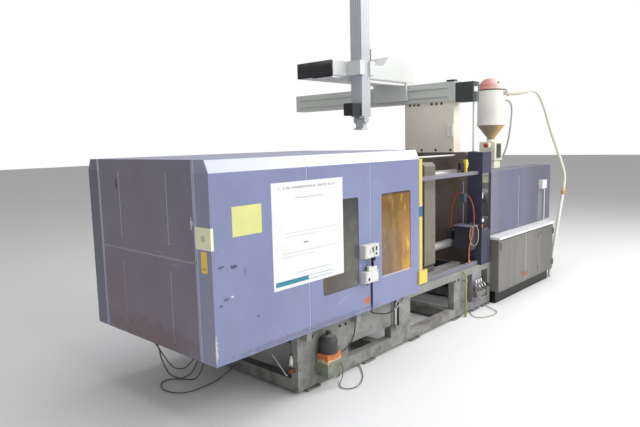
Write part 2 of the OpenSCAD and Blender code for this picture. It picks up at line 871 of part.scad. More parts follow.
module cabinet_door_right() {
  color([0.76, 0.76, 0.75]) on_axis() {
    cabinet_door(hinge_left + knuckle_r + 3, hinge_right);
    rod_y(hinge_left + 60, door_y - 12, 760, 12, 16);
  }
}

tank_x = 450;
tank_len = 620;
tank_w = 460;
tank_h = 420;
pump_len = 330;
motor_len = 260;

module oil_tank() {
  color([0.30, 0.42, 0.50]) on_axis() {
    low = plinth_h + cabinet_wall;
    tank_end = tank_x + tank_len;
    block([tank_x, -600, low], [tank_len, tank_w, tank_h]);
    block([tank_end, -420, low], [pump_len, 200, 90]);
    rod_x(tank_end, 80, 60, -320, low + 240);
    rod_x(tank_end + 80, motor_len, 120, -320, low + 240);
    block([1180, -360, low + 80], [180, 80, 60]);
  }
}

way_low = cabinet_high;
way_top = way_low + 60;
way_mid = 280;
way_end = x_feed + feed_len + carriage_travel - 80;

module injection_ways() {
  color(bright_steel) on_axis() both_sides()
    block([cabinet_x + nut_bay + 10, -way_mid - 40, way_low], [way_end - cabinet_x - nut_bay - 10, 80, 60]);
}

rod_r = 30;
rod_mid = 210;
cyl_r = 70;
cyl_len = 300;
throat_r = 40;

module feed_block() {
  low = way_top + clearance;
  color([0.72, 0.73, 0.74]) on_axis() difference() {
    union() {
      block([x_feed, -way_mid, low], [feed_len, 2 * way_mid, feed_high - low]);
      for (s = [-1, 1]) {
        rod_x(x_feed - cyl_len, cyl_len, cyl_r, s * rod_mid);
        rod_x(x_feed - 25, 25, cyl_r + 20, s * rod_mid);
      }
    }
    rod_x(x_feed - 1, feed_len + 2, screw_r);
    for (s = [-1, 1]) {
      rod_x(x_feed - 1, feed_len + 2, rod_r + clearance, s * rod_mid);
      rod_x(x_feed - cyl_len + 30, cyl_len - 30 + 1, rod_r + 12, s * rod_mid);
    }
    translate([hopper_x, 0, axis_h]) cylinder(h = feed_high - axis_h + 1, r = throat_r);
  }
}

bore_start = 240;
screw_tip = bore_start + shot + 10;

nozzle_end = 200;
head_end = 330;

module barrel() {
  color([0.62, 0.63, 0.65]) on_axis() translate([0, 0, axis_h]) rotate([0, 90, 0]) rotate_extrude()
    polygon([[4, 30], [14, 30], [38, 60], [38, nozzle_end], [barrel_r + 15, nozzle_end], [barrel_r + 15, head_end],
      [barrel_r, head_end], [barrel_r, x_feed], [screw_r, x_feed], [screw_r, bore_start], [4, nozzle_end]]);
}

band = 120;
band_start = 420;
band_pitch = 165;

module heater_bands() {
  color([0.80, 0.78, 0.72]) on_axis() for (i = [0:6]) difference() {
    rod_x(band_start + i * band_pitch, band, barrel_r + 9);
    rod_x(band_start - 1 + i * band_pitch, band + 2, barrel_r);
  }
}

tail_r = 25;
drive_t = 70;

module screw() {
  body_end = x_drive - 20;
  color(bright_steel) on_axis() translate([0, 0, axis_h]) rotate([0, 90, 0]) rotate_extrude()
    polygon([[0, screw_tip], [screw_r - 0.1, screw_tip + 50], [screw_r - 0.1, body_end],
      [tail_r, body_end], [tail_r, x_drive + drive_t - 10], [0, x_drive + drive_t - 10]]);
}

module drive_head() {
  color([0.25, 0.26, 0.28]) on_axis() {
    difference() {
      block([x_drive, -way_mid, axis_h - 150], [drive_t, 2 * way_mid, 300]);
      rod_x(x_drive - 1, drive_t - 4, tail_r + 0.05);
    }
    for (s = [-1, 1]) rod_x(x_feed - 60, x_drive - x_feed + 60, rod_r, s * rod_mid);
    rod_x(x_drive + drive_t, 60, 150);
    rod_x(x_drive + drive_t + 60, 160, 125);
  }
}

inj_top_x = inj_cover_x + 15;
inj_low = cabinet_high + 6;
inj_post = 40;

// Cover over one side of the injection unit, in two panels with a seam
module injection_cover() {
  y = -inj_cover_y;
  end = inj_cover_x + inj_cover_len;
  seam = inj_cover_x + inj_seam;
  for (p = [[inj_cover_x, seam - panel_gap], [seam, end]])
    block([p[0], y, inj_low], [p[1] - p[0], sheet, inj_high - inj_low]);
  for (p = [[inj_top_x, seam - panel_gap], [seam, end]])
    block([p[0], y + sheet, inj_high - sheet], [p[1] - p[0], inj_top_w - sheet, sheet]);
  for (x = [inj_top_x, seam - 100, seam + 60, end - 100])
    block([x, y + sheet, cabinet_high], [inj_post, inj_post, inj_high - sheet - cabinet_high]);
  block([end - 20, y + sheet, inj_low], [20, 16, inj_high - inj_low]);
  block([end - 20, y + 20, inj_low], [20 + inj_end_len, sheet, inj_high - inj_low]);
  block([end - 20, y + 20 + sheet, inj_high - sheet],
    [20 + inj_end_len, inj_top_w - 20 - sheet, sheet]);
}

box_w = 170;
box_d = 60;
box_z = 1365;
box_h = 125;

module injection_front_cover() {
  box_x = inj_cover_x + inj_cover_len + 10 - box_w;
  color(cover_blue) on_axis() injection_cover();
  color([0.80, 0.80, 0.78]) on_axis() {
    block([box_x, -inj_cover_y - box_d, box_z], [box_w, box_d, box_h]);
    translate([box_x + box_w - 15, -inj_cover_y - box_d / 2, cabinet_high])
      cylinder(h = box_z - cabinet_high, r = 8);
  }
}

module injection_rear_cover() {
  color(cover_blue) on_axis() mirror([0, 1, 0]) injection_cover();
}

plate_t = 8;
plate_w = 120;
throat_w = 210;
plate_z = feed_high + 106;

module throat_block() {
  color([0.86, 0.86, 0.83]) on_axis() translate([hopper_x, 0, 0]) difference() {
    union() {
      block([-throat_w / 2, -throat_w / 2, feed_high], [throat_w, throat_w, throat_h]);
      block([-throat_w / 2 - 20, -throat_w / 2 - 20, feed_high], [throat_w + 40, throat_w + 40, 20]);
    }
    translate([0, 0, feed_high - 1]) cylinder(h = throat_h + 2, r = throat_r);
    block([-throat_w, -plate_w / 2 - clearance, plate_z - clearance],
      [2 * throat_w, plate_w + 2 * clearance, plate_t + 2 * clearance]);
  }
}

module throat_gate() {
  color(bright_steel) on_axis() translate([hopper_x, 0, 0]) {
    difference() {
      block([-throat_w / 2 - 5, -plate_w / 2, plate_z], [throat_w + 80, plate_w, plate_t]);
      translate([0, 0, plate_z - 1]) cylinder(h = plate_t + 2, r = throat_r);
    }
    block([throat_w / 2 + 65, -40, plate_z + plate_t], [10, 80, 30]);
  }
}

module sight_box() {
  low = throat_top;
  inner = sight_w - 24;
  color([0.90, 0.90, 0.87]) on_axis() translate([hopper_x, 0, 0]) {
    difference() {
      union() {
        block([-sight_w / 2, -sight_w / 2, low], [sight_w, sight_w, sight_h]);
        translate([0, 0, low + sight_h]) cylinder(h = 35, r = 62);
        rod_x(sight_w / 2, 80, 25, 0, low + 180);
        rod_x(-sight_w / 2 - 35, 35, 20, -40, low + 230);
      }
      block([-inner / 2, -inner / 2, low + 12], [inner, inner, sight_h - 24]);
      translate([0, 0, low - 1]) cylinder(h = sight_h + 40, r = throat_r);
    }
  }
  color([0.70, 0.15, 0.12]) on_axis()
    block([hopper_x - sight_w / 2 - 95, -70, low + 195], [60, 60, 75]);
}

stub_z = body_high - 50;
lid_pin_y = loader_r + 14;
lid_pin_r = 4;

module loader_body() {
  wall = loader_wall;
  color([0.90, 0.88, 0.84]) on_axis() {
    difference() {
      union() {
        translate([hopper_x, 0, 0]) rotate_extrude()
          polygon([[throat_r, cone_low], [cone_r + 14, cone_low], [cone_r + 14, cone_low + 12],
            [cone_r, cone_low + 12], [loader_r, body_low], [loader_r + 8, body_low],
            [loader_r + 8, body_low + 20], [loader_r, body_low + 20], [loader_r, body_high],
            [loader_r - wall, body_high], [loader_r - wall, body_low], [cone_r - 8, cone_low + 12]]);
        translate([hopper_x, 0, stub_z - 20]) rotate([0, 0, -60]) rod_x(loader_r - 2, 46.5, 28, 0, 0);
        for (x = [-60, 40]) block([hopper_x + x, loader_r - 11, body_high - 20], [20, 33, 10]);
      }
      translate([hopper_x, 0, stub_z - 20]) rotate([0, 0, -60]) rod_x(loader_r - 10, 60, 20, 0, 0);
    }
    for (x = [-60, 40]) difference() {
      block([hopper_x + x, lid_pin_y - 8, body_high - 12], [20, 16, 24]);
      rod_x(hopper_x + x - 1, 22, lid_pin_r + 0.05, lid_pin_y, body_high + 4);
    }
  }
}

// Half section of the pressed loader lid, taken in by t
module lid_profile(t) {
  r = loader_r - t;
  top = lid_h - t;
  low = t > 0 ? -1 : 0;
  polygon([[0, low], [r - t, low], [r, 14 - t], [r - 8, 24], [r - 22, 80], [r - 60, 126], [r - 98, top - 4],
    [r - 112, top], [0, top]]);
}

module loader_lid() {
  low = body_high + clearance;
  wall = loader_wall;
  color([0.86, 0.72, 0.68]) on_axis() {
    translate([hopper_x, 0, low]) rotate_extrude()
      difference() {
        lid_profile(0);
        lid_profile(wall);
      }
    block([hopper_x - 39, loader_r - 20, low], [78, lid_pin_y - loader_r + 20, 8]);
    rod_x(hopper_x - 62, 124, lid_pin_r, lid_pin_y, body_high + 4);
  }
}

// Centre line of the beige material hose and its lance, in the shop frame
material_points = [
  [1905, -216, 2780], [1935, -268, 2780], [1968, -325, 2780], [2030, -400, 2795], [2140, -475, 2820],
  [2250, -530, 2760], [2340, -590, 2560], [2430, -670, 2200], [2565, -745, 1850], [2680, -795, 1550],
  [2650, -800, 1310], [2528, -800, 1000], [2391, -800, 650], [2253, -800, 300], [2140, -800, 12]
];

module material_hose() {
  color([0.80, 0.74, 0.64]) on_axis() sweep_tube(material_points, 22, 10, 5, [0.9, 0.3, 0.1]);
}

wall_t = 14;

module robot_riser() {
  color([0.88, 0.88, 0.85]) on_axis() {
    difference() {
      block([0, -riser_w / 2, platen_top], [riser_d, riser_w, riser_h]);
      for (s = [-1, 1])
        block([wall_t, s * riser_w / 4 - riser_w / 4 + wall_t, platen_top + 24],
          [riser_d, riser_w / 2 - 2 * wall_t, riser_h - 48]);
    }
    for (y = [-riser_w / 2 + 60, -riser_w / 2 + 5])
      block([-16, y, platen_top + 200], [16, 28, 160]);
  }
}

beam_x0 = -20;
beam_y0 = -390;

module robot_beam() {
  color([0.70, 0.76, 0.70]) on_axis() {
    difference() {
      block([beam_x0, beam_y0, riser_top], [beam_x, traverse_len, beam_z]);
      block([beam_x0 + 12, beam_y0 + 12, riser_top + 12], [beam_x - 24, traverse_len, beam_z - 24]);
    }
    for (z = [riser_top + 60, riser_top + 165])
      block([beam_x0 - 14, beam_y0 + 100, z], [14, traverse_len - 200, 18]);
  }
  color([0.20, 0.21, 0.22]) on_axis() {
    block([beam_x0 + 10, beam_y0 - 240, riser_top - 20], [160, 240, 240]);
    translate([70, beam_y0 - 210, platen_top + 8]) cylinder(h = riser_h - 28, r = 12);
    block([30, beam_y0 - 250, platen_top], [80, 80, 8]);
  }
}

housing_y0 = 290;
housing_z0 = beam_top + 30;
claw_t = 30;
skin = 6;
dome_in = 40;
dome_len = 680;
dome_h = 185;

// Side view of the motor dome, drawn smaller by a wall
module dome_outline(wall) {
  r = dome_h - 5;
  foot = housing_z0 + housing_h;
  translate([-dome_len + r - 80 + wall, foot - 10]) square([dome_len - r - wall, dome_h + 10 - wall]);
  translate([-80, foot - 10]) square([r - wall, 15]);
  translate([-80, foot + 5]) intersection() {
    circle(r - wall);
    square(r - wall);
  }
}

module robot_side_arm() {
  slot_x = beam_x0 - 14 - clearance;
  far_x = beam_x0 + beam_x + clearance;
  color([0.90, 0.90, 0.88]) on_axis() {
    block([slot_x - claw_t, housing_y0 + 10, beam_top + clearance],
      [far_x - slot_x + 2 * claw_t, 540, 30 - clearance]);
    for (x = [slot_x - claw_t, far_x])
      block([x, housing_y0 + 10, beam_top - 200], [claw_t, 540, 200 + clearance]);
    block([-1100, housing_y0 + 30, housing_z0 - 35], [1100 + slot_x - claw_t, 120, 35]);
    block([-housing_len + 10, housing_y0 + 10, housing_z0 - 20], [140, 300, 20]);
    difference() {
      union() {
        block([-housing_len, housing_y0, housing_z0], [housing_len + far_x + claw_t, housing_w, housing_h]);
        plate_xz(housing_y0 + dome_in, housing_w - 2 * dome_in) dome_outline(0);
      }
      block([-housing_len + skin, housing_y0 + skin, housing_z0 + skin],
        [housing_len + far_x + claw_t - 2 * skin, housing_w - 2 * skin, housing_h - 2 * skin]);
      plate_xz(housing_y0 + dome_in + skin, housing_w - 2 * dome_in - 2 * skin) dome_outline(skin);
      block([-500, housing_y0 + 200, housing_z0 - 1], [380, housing_w - 300, skin + 2]);
    }
  }
}

arm_x = -1160;
arm_y = 195;
arm_bottom = riser_top - 190;
bracket_low = housing_z0 + 10;
bracket_high = housing_z0 + housing_h - 5;

module robot_arm_bracket() {
  half = arm_w / 2 + clearance;
  high = bracket_high - bracket_low;
  color([0.55, 0.56, 0.58]) on_axis() {
    difference() {
      block([arm_x - half - 60, arm_y - half - 25, bracket_low],
        [2 * half + 120, housing_y0 - clearance - arm_y + half + 25, high]);
      block([arm_x - half, arm_y - half, bracket_low - 1], [2 * half, 2 * half, high + 2]);
      block([arm_x - 50, arm_y - half - 26, bracket_low - 1], [100, 40, high + 2]);
    }
  }
  color([0.12, 0.12, 0.13]) on_axis() {
    block([arm_x + half + 5, arm_y - 45, bracket_high], [90, 90, 12]);
    translate([arm_x + half + 50, arm_y, bracket_high + 12]) cylinder(h = 110, r = 44);
  }
}

wrist_z = arm_bottom - 40;
wrist_pin_r = 10;

module robot_arm() {
  cheek = 25;
  color([0.90, 0.90, 0.88]) on_axis() {
    difference() {
      block([arm_x - arm_w / 2, arm_y - arm_w / 2, arm_bottom], [arm_w, arm_w, arm_len]);
      block([arm_x - arm_w / 2 + skin, arm_y - arm_w / 2 + skin, arm_bottom + 20],
        [arm_w - 2 * skin, arm_w - 2 * skin, arm_len]);
    }
    for (y = [arm_y - arm_w / 2, arm_y + arm_w / 2 - cheek]) {
      block([arm_x - 40, y, wrist_z], [80, cheek, arm_bottom - wrist_z]);
      rod_y(arm_x, y, wrist_z, cheek, 40);
    }
    rod_y(arm_x, arm_y - arm_w / 2, wrist_z, arm_w, wrist_pin_r);
  }
  color([0.12, 0.12, 0.13]) on_axis()
    block([arm_x - arm_w / 2 - 160, arm_y - 65, arm_bottom + 10], [160, 130, 140]);
}

module robot_wrist() {
  half = arm_w / 2 - 25 - clearance;
  reach = 100;
  color([0.75, 0.76, 0.78]) on_axis() difference() {
    union() {
      rod_y(arm_x, arm_y - half, wrist_z, 2 * half, 32);
      block([arm_x - 32, arm_y - half, wrist_z - reach + 10], [64, 2 * half, reach - 10]);
      block([arm_x - 60, arm_y - 60, wrist_z - reach - 10], [120, 120, 20]);
    }
    rod_y(arm_x, arm_y - half - 1, wrist_z, 2 * half + 2, wrist_pin_r + 0.05);
    for (i = [0:3]) translate([arm_x, arm_y, wrist_z - reach - 11])
      rotate([0, 0, 45 + 90 * i]) translate([50, 0, 0]) cylinder(h = 22, r = 4.25);
  }
}

bed_sides();
bed_cross_beams();
leveling_feet();
slide_ways();
fixed_platen();
cylinder_platen();
tie_bars();
tie_bar_nuts();
clamp_cylinder();
moving_platen();
clamp_ram();
ejector_plate();
cover_frame();
front_end_cover();
rear_end_cover();
end_panel_upper();
end_panel_lower();
window_cover();
smoked_window();
rear_cover();
top_cover();
gate();
gate_window();
gate_edge();
gate_roller_front();
gate_roller_rear();
gate_rails();
guard_post();
rear_gate();
rear_gate_rails();
interlock_switches();
lube_unit();
water_manifold();
valve_lever();
hose_manifold();
water_hose();
power_cabinet();
cabinet_door_left();
cabinet_door_right();
oil_tank();
injection_ways();
feed_block();
barrel();
heater_bands();
screw();
drive_head();
injection_front_cover();
injection_rear_cover();
throat_block();
throat_gate();
sight_box();
loader_body();
loader_lid();
material_hose();
robot_riser();
robot_beam();
robot_side_arm();
robot_arm_bracket();
robot_arm();
robot_wrist();
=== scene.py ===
import bpy, bmesh, json, math
from mathutils import Vector, Matrix


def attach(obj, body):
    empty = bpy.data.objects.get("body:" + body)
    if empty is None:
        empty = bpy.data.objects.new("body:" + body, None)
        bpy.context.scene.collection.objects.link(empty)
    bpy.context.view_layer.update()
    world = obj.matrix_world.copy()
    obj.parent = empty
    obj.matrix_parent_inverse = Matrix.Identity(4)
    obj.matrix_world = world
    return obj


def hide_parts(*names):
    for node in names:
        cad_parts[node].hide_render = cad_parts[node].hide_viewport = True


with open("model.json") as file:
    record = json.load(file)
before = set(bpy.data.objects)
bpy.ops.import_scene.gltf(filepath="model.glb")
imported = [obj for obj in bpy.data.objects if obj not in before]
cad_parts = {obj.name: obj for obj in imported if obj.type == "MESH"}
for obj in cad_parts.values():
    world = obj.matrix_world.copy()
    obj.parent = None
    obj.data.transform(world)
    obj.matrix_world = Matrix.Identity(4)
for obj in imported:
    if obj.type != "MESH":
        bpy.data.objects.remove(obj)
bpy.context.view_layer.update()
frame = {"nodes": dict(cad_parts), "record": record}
nodes = frame["nodes"]
scene = bpy.context.scene
floorZ = -1.26   # the frame's origin lies on the barrel axis
hopperX = 1780   # the hopper's axis in shop millimetres
print("frame loaded:", len(nodes), "nodes")


def shop(x, y, z):
    # millimetres measured from the floor to metres in the frame
    return Vector((x / 1000, y / 1000, z / 1000 + floorZ))


def linked(name, data):
    ob = bpy.data.objects.new(name, data)
    scene.collection.objects.link(ob)
    return ob


# Camera

cameraSet = {"place": (-6.5005, -4.0205, 0.8744), "yaw": 0.743075, "pitch": -0.125182, "roll": -0.023726,
    "focalPixels": 571.638, "pictureWidth": 640, "sensorWidth": 36, "reach": 200}


def makeCamera(s):
    yaw, pitch, roll = s["yaw"], s["pitch"], s["roll"]
    ahead = Vector((math.cos(pitch) * math.cos(yaw), math.cos(pitch) * math.sin(yaw), math.sin(pitch)))
    right = ahead.cross(Vector((0, 0, 1))).normalized()
    up = right.cross(ahead)
    tiltedRight = math.cos(roll) * right + math.sin(roll) * up
    tiltedUp = math.cos(roll) * up - math.sin(roll) * right
    data = bpy.data.cameras.new("photoCamera")
    data.sensor_fit = 'HORIZONTAL'
    data.sensor_width = s["sensorWidth"]
    data.lens = s["focalPixels"] * s["sensorWidth"] / s["pictureWidth"]
    data.clip_end = s["reach"]
    scene.camera = linked("photoCamera", data)
    scene.camera.matrix_world = Matrix((*zip(tiltedRight, tiltedUp, -ahead, s["place"]), (0, 0, 0, 1)))


makeCamera(cameraSet)


# Mesh helpers

def meshObject(name, bm, material):
    mesh = bpy.data.meshes.new(name)
    bm.to_mesh(mesh)
    bm.free()
    mesh.materials.append(material)
    return linked(name, mesh)


def finishPiece(ob, body="machine", hides=()):
    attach(ob, body)
    if hides:
        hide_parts(*hides)
    return ob


def circle(sides):
    return [2 * math.pi * k / sides for k in range(sides)]


def smoothCurve(points, steps):
    # the same smooth route as the CAD tube
    out = []
    n = len(points)
    for i in range(n - 1):
        p0, p1, p2, p3 = points[max(i - 1, 0)], points[i], points[i + 1], points[min(i + 2, n - 1)]
        for k in range(steps):
            t = k / steps
            out.append(0.5 * (2 * p1 + (p2 - p0) * t + (2 * p0 - 5 * p1 + 4 * p2 - p3) * t * t
                + (3 * p1 - p0 - 3 * p2 + p3) * t ** 3))
    out.append(points[-1].copy())
    return out


def sideways(along):
    # two directions square to the given one
    side = along.cross(Vector((0, 0, 1)) if abs(along.z) < 0.9 else Vector((1, 0, 0))).normalized()
    return side, along.cross(side)


def loopAt(bm, centre, side, other, radius, sides):
    return [bm.verts.new(centre + radius * (math.cos(a) * side + math.sin(a) * other)) for a in circle(sides)]


def skin(bm, loops):
    # smooth faces from each loop to the next; a loop of one vertex makes a tip
    sides = max(len(loop) for loop in loops)
    for a, b in zip(loops, loops[1:]):
        for k in range(sides):
            m = (k + 1) % sides
            if len(a) == 1:
                corners = a[0], b[m], b[k]
            elif len(b) == 1:
                corners = a[k], a[m], b[0]
            else:
                corners = a[k], a[m], b[m], b[k]
            bm.faces.new(corners).smooth = True


def tubeMesh(bm, path, radius, sides):
    # sweeps a round tube along a path, with closed ends
    n = len(path)
    tangent = [(path[min(i + 1, n - 1)] - path[max(i - 1, 0)]).normalized() for i in range(n)]
    side = sideways(tangent[0])[0]
    loops = []
    for point, along in zip(path, tangent):
        side = (side - along * side.dot(along)).normalized()
        loops.append(loopAt(bm, point, side, along.cross(side), radius, sides))
    skin(bm, loops)
    bm.faces.new(list(reversed(loops[0])))
    bm.faces.new(loops[-1])


def boxMesh(bm, low, high):
    # corners in shop millimetres
    low, high = shop(*low), shop(*high)
    for v in bmesh.ops.create_cube(bm, size=1)["verts"]:
        v.co = [v.co[k] * (high[k] - low[k]) + (high[k] + low[k]) / 2 for k in range(3)]


def bevelAll(bm, width):
    sharp = 0.5
    edges = [e for e in bm.edges if e.is_manifold and e.calc_face_angle(0) > sharp]
    bmesh.ops.bevel(bm, geom=edges, offset=width, segments=2, profile=0.7, affect='EDGES')


def prism(bm, first, second):
    # joins two like outlines, in shop millimetres, to a closed body and returns its end faces
    a, b = ([bm.verts.new(shop(*p)) for p in outline] for outline in (first, second))
    n = len(a)
    for k in range(n):
        bm.faces.new((a[k], a[(k + 1) % n], b[(k + 1) % n], b[k]))
    ends = [bm.faces.new(a), bm.faces.new(list(reversed(b)))]
    bmesh.ops.recalc_face_normals(bm, faces=bm.faces)
    return ends


def rings(bm, axis, profile, sides=28):
    # turned shape: axis start and direction, profile of (distance along it, radius), all in shop millimetres;
    # a profile that isn't a closed loop gets its end faces
    if profile[0] != profile[-1]:
        profile = [(profile[0][0], 0)] + profile + ([(profile[-1][0], 0)] if profile[-1][1] else [])
    start, along = shop(*axis[0]), Vector(axis[1]).normalized()
    side, other = sideways(along)
    skin(bm, [loopAt(bm, start + along * d / 1000, side, other, r / 1000, sides if r else 1) for d, r in profile])
    bmesh.ops.recalc_face_normals(bm, faces=bm.faces)


def pathLength(path):
    return sum((b - a).length for a, b in zip(path, path[1:]))


def tubePiece(name, path, radius, sides, material):
    bm = bmesh.new()
    tubeMesh(bm, path, radius, sides)
    return meshObject(name, bm, material)


# Routes of the two hoses that stand for CAD nodes

hoseSet = {"radius": 0.009, "sides": 16, "steps": 6}
hoseRoute = [shop(*p) for p in (
    (-70, -690, 1092), (-70, -690, 1200), (-69, -675, 1300), (-67, -635, 1390), (-66, -570, 1445), (-66, -510, 1458),
    (-66, -450, 1430), (-67, -402, 1340), (-69, -380, 1220), (-70, -375, 1100), (-70, -375, 1000))]

loaderHoseSet = {"radius": 0.022, "sides": 16, "steps": 6, "lanceStart": 10, "lanceRadius": 0.0245,
    "couplingRadius": 0.029, "couplingStart": -0.03, "couplingEnd": 0.09, "lanceSides": 20}
loaderRoute = [shop(*p) for p in (
    (1905, -216, 2780), (1935, -268, 2780), (1968, -325, 2780), (2030, -400, 2795), (2140, -475, 2820),
    (2250, -530, 2760), (2340, -590, 2560), (2430, -670, 2200), (2565, -745, 1850), (2680, -795, 1550),
    (2650, -800, 1310), (2528, -800, 1000), (2391, -800, 650), (2253, -800, 300), (2140, -800, 12))]


# Shared shader groups

def linear(rgb):
    # 0-255 display colour to a linear colour with alpha
    out = []
    for c in rgb:
        c = c / 255
        out.append(c / 12.92 if c <= 0.04045 else ((c + 0.055) / 1.055) ** 2.4)
    return tuple(out) + (1,)


class Tree:
    # short ways to add and join nodes

    def __init__(self, tree):
        self.tree = tree

    def put(self, socket, value):
        if isinstance(value, bpy.types.NodeSocket):
            self.tree.links.new(value, socket)
        elif value is not None:
            socket.default_value = value

    def fill(self, node, inputs):
        for key, value in inputs.items():
            self.put(node.inputs[key], value)

    def add(self, kind, inputs=None, **settings):
        # the settings go first, because they decide which inputs there are
        node = self.tree.nodes.new(kind)
        for key, value in settings.items():
            setattr(node, key, value)
        self.fill(node, inputs or {})
        return node

    def math(self, operation, a, b=None, clamp=False):
        return self.add("ShaderNodeMath", {0: a, 1: b}, operation=operation, use_clamp=clamp).outputs[0]

    def times(self, a, b, clamp=False):
        return self.math('MULTIPLY', a, b, clamp)

    def plus(self, a, b, clamp=False):
        return self.math('ADD', a, b, clamp)

    def minus(self, a, b):
        return self.math('SUBTRACT', a, b)

    def vector(self, operation, a, b=None, out=0):
        return self.add("ShaderNodeVectorMath", {0: a, 1: b}, operation=operation).outputs[out]

    def axes(self, vector):
        return self.add("ShaderNodeSeparateXYZ", {0: vector}).outputs

    def mix(self, factor, a, b):
        return self.add("ShaderNodeMix", {0: factor, 6: a, 7: b}, data_type='RGBA').outputs[2]

    def cover(self, shade, tone, mask, much=None):
        # lays a 0-255 colour over the shade, as far as the mask and the amount say
        return self.mix(mask if much is None else self.times(mask, much), shade, linear(tone))

    def layers(self, shade, *rows):
        # each row: colour, mask and, if wanted, the amount
        for row in rows:
            shade = self.cover(shade, *row)
        return shade

    def step(self, value, low, high, outLow=0.0, outHigh=1.0):
        return self.add("ShaderNodeMapRange", dict(enumerate((value, low, high, outLow, outHigh))),
            interpolation_type='SMOOTHSTEP').outputs[0]

    def rise(self, height, low, high):
        # step between two heights in shop millimetres
        return self.step(height, low / 1000 + floorZ, high / 1000 + floorZ)

    def between(self, value, low, high, soft):
        return self.times(self.step(value, low, low + soft), self.step(value, high, high - soft))

    def noise(self, vector, scale, detail=3.0, rough=0.55):
        return self.add("ShaderNodeTexNoise", {"Vector": vector, "Scale": scale, "Detail": detail,
            "Roughness": rough}).outputs[0]

    def bump(self, strength, distance, height, normal):
        return self.add("ShaderNodeBump", {"Strength": strength, "Distance": distance, "Height": height,
            "Normal": normal}).outputs[0]

    def group(self, group, **inputs):
        return self.add("ShaderNodeGroup", inputs, node_tree=group)


numberSocket, vectorSocket = "NodeSocketFloat", "NodeSocketVector"


def newSockets(group, ins, outs):
    for label, kind, value in ins:
        s = group.interface.new_socket(label, in_out='INPUT', socket_type=kind)
        if value is not None:
            s.default_value = value
    for label, kind in outs:
        group.interface.new_socket(label, in_out='OUTPUT', socket_type=kind)
    t = Tree(group)
    return group, t, t.add("NodeGroupInput").outputs, t.add("NodeGroupOutput").inputs


def newGroup(name, ins, outs):
    # shader group: a number as default makes a number socket, anything else a vector socket
    kinds = {True: numberSocket, False: vectorSocket}
    return newSockets(bpy.data.node_groups.new(name, "ShaderNodeTree"),
        [(label, kinds[isinstance(value, float)], value) for label, value in ins.items()],
        [(label, kinds[label != "Normal"]) for label in outs])


def makeMarkGroup():
    # an ellipsoid spot with a ragged edge, at a place on the machine
    group, t, i, o = newGroup("markSpot", {"Place": None, "Centre": None, "Half": (0.1, 0.1, 0.1), "Ragged": 0.4,
        "Grain": 25.0}, ["Mask"])
    away = t.vector('DIVIDE', t.vector('SUBTRACT', i["Place"], i["Centre"]), i["Half"])
    far = t.vector('LENGTH', away, out=1)
    rough = t.times(t.minus(t.noise(i["Place"], i["Grain"], 4.0, 0.65), 0.5), i["Ragged"])
    edge = t.plus(far, t.times(rough, 4.0))
    t.put(o["Mask"], t.step(edge, 1.0, 0.75))
    return group


def makeEdgeGroup():
    # rounded-edge normal and a mask of outer edges, broken up into chips
    group, t, i, o = newGroup("edgeWear", {"Place": None, "Width": 0.003, "Amount": 0.5}, ["Mask", "Normal"])
    bevel = t.add("ShaderNodeBevel", {"Radius": i["Width"]}, samples=4)
    flat = t.add("ShaderNodeNewGeometry").outputs["Normal"]
    turn = t.minus(1.0, t.vector('DOT_PRODUCT', bevel.outputs[0], flat, out=1))
    edge = t.step(turn, 0.02, 0.2)
    chips = t.step(t.noise(i["Place"], 38.0, 4.0, 0.7), t.minus(0.86, t.times(i["Amount"], 0.5)),
        t.minus(0.92, t.times(i["Amount"], 0.5)))
    t.put(o["Mask"], t.times(edge, chips))
    t.put(o["Normal"], bevel.outputs[0])
    return group


def makeDustGroup():
    # dust that lies on upward faces, and grime that thickens towards the floor
    group, t, i, o = newGroup("dustAndGrime", {"Place": None, "Dust": 0.4, "Grime": 0.4, "Grime top": -0.6},
        ["Dust mask", "Grime mask"])
    normal = t.add("ShaderNodeNewGeometry").outputs["Normal"]
    cloudy = t.step(t.noise(i["Place"], 6.0, 5.0, 0.6), 0.3, 0.75)
    up = t.step(t.axes(normal)[2], 0.35, 0.95)
    t.put(o["Dust mask"], t.times(t.times(up, i["Dust"]), t.plus(cloudy, 0.25), clamp=True))
    low = t.step(t.axes(i["Place"])[2], i["Grime top"], floorZ)
    blot = t.step(t.noise(i["Place"], 9.0, 6.0, 0.65), 0.35, 0.7)
    t.put(o["Grime mask"], t.times(t.times(low, i["Grime"]), t.plus(blot, 0.2), clamp=True))
    return group


def makeStreakGroup():
    # long faint vertical or lengthwise streaks, as in brushed or wiped metal
    group, t, i, o = newGroup("streaks", {"Place": None, "Stretch": (40.0, 40.0, 1.2), "Fine": (260.0, 260.0, 3.0)},
        ["Wide", "Thin"])
    t.put(o["Wide"], t.step(t.noise(t.vector('MULTIPLY', i["Place"], i["Stretch"]), 0.35, 3.0, 0.6), 0.3, 0.7))
    t.put(o["Thin"], t.noise(t.vector('MULTIPLY', i["Place"], i["Fine"]), 1.0, 3.0, 0.6))
    return group


def makeScratchGroup():
    # a few thin crossing scratches
    group, t, i, o = newGroup("scratches", {"Place": None, "Amount": 0.3}, ["Mask"])
    total = None
    for turn, stretch in ((0.4, (3.0, 3.0, 90.0)), (-0.7, (4.0, 4.0, 120.0))):
        rotate = t.add("ShaderNodeVectorRotate", {"Vector": i["Place"], "Angle": turn}, rotation_type='Y_AXIS')
        line = t.step(t.noise(t.vector('MULTIPLY', rotate.outputs[0], stretch), 1.0, 2.0, 0.5), 0.71, 0.73)
        where = t.step(t.noise(rotate.outputs[0], 2.3, 2.0, 0.5), 0.56, 0.66)
        part = t.times(line, where)
        total = part if total is None else t.math('MAXIMUM', total, part)
    t.put(o["Mask"], t.times(total, i["Amount"], clamp=True))
    return group


markGroup = makeMarkGroup()
edgeGroup = makeEdgeGroup()
dustGroup = makeDustGroup()
streakGroup = makeStreakGroup()
scratchGroup = makeScratchGroup()


# Materials

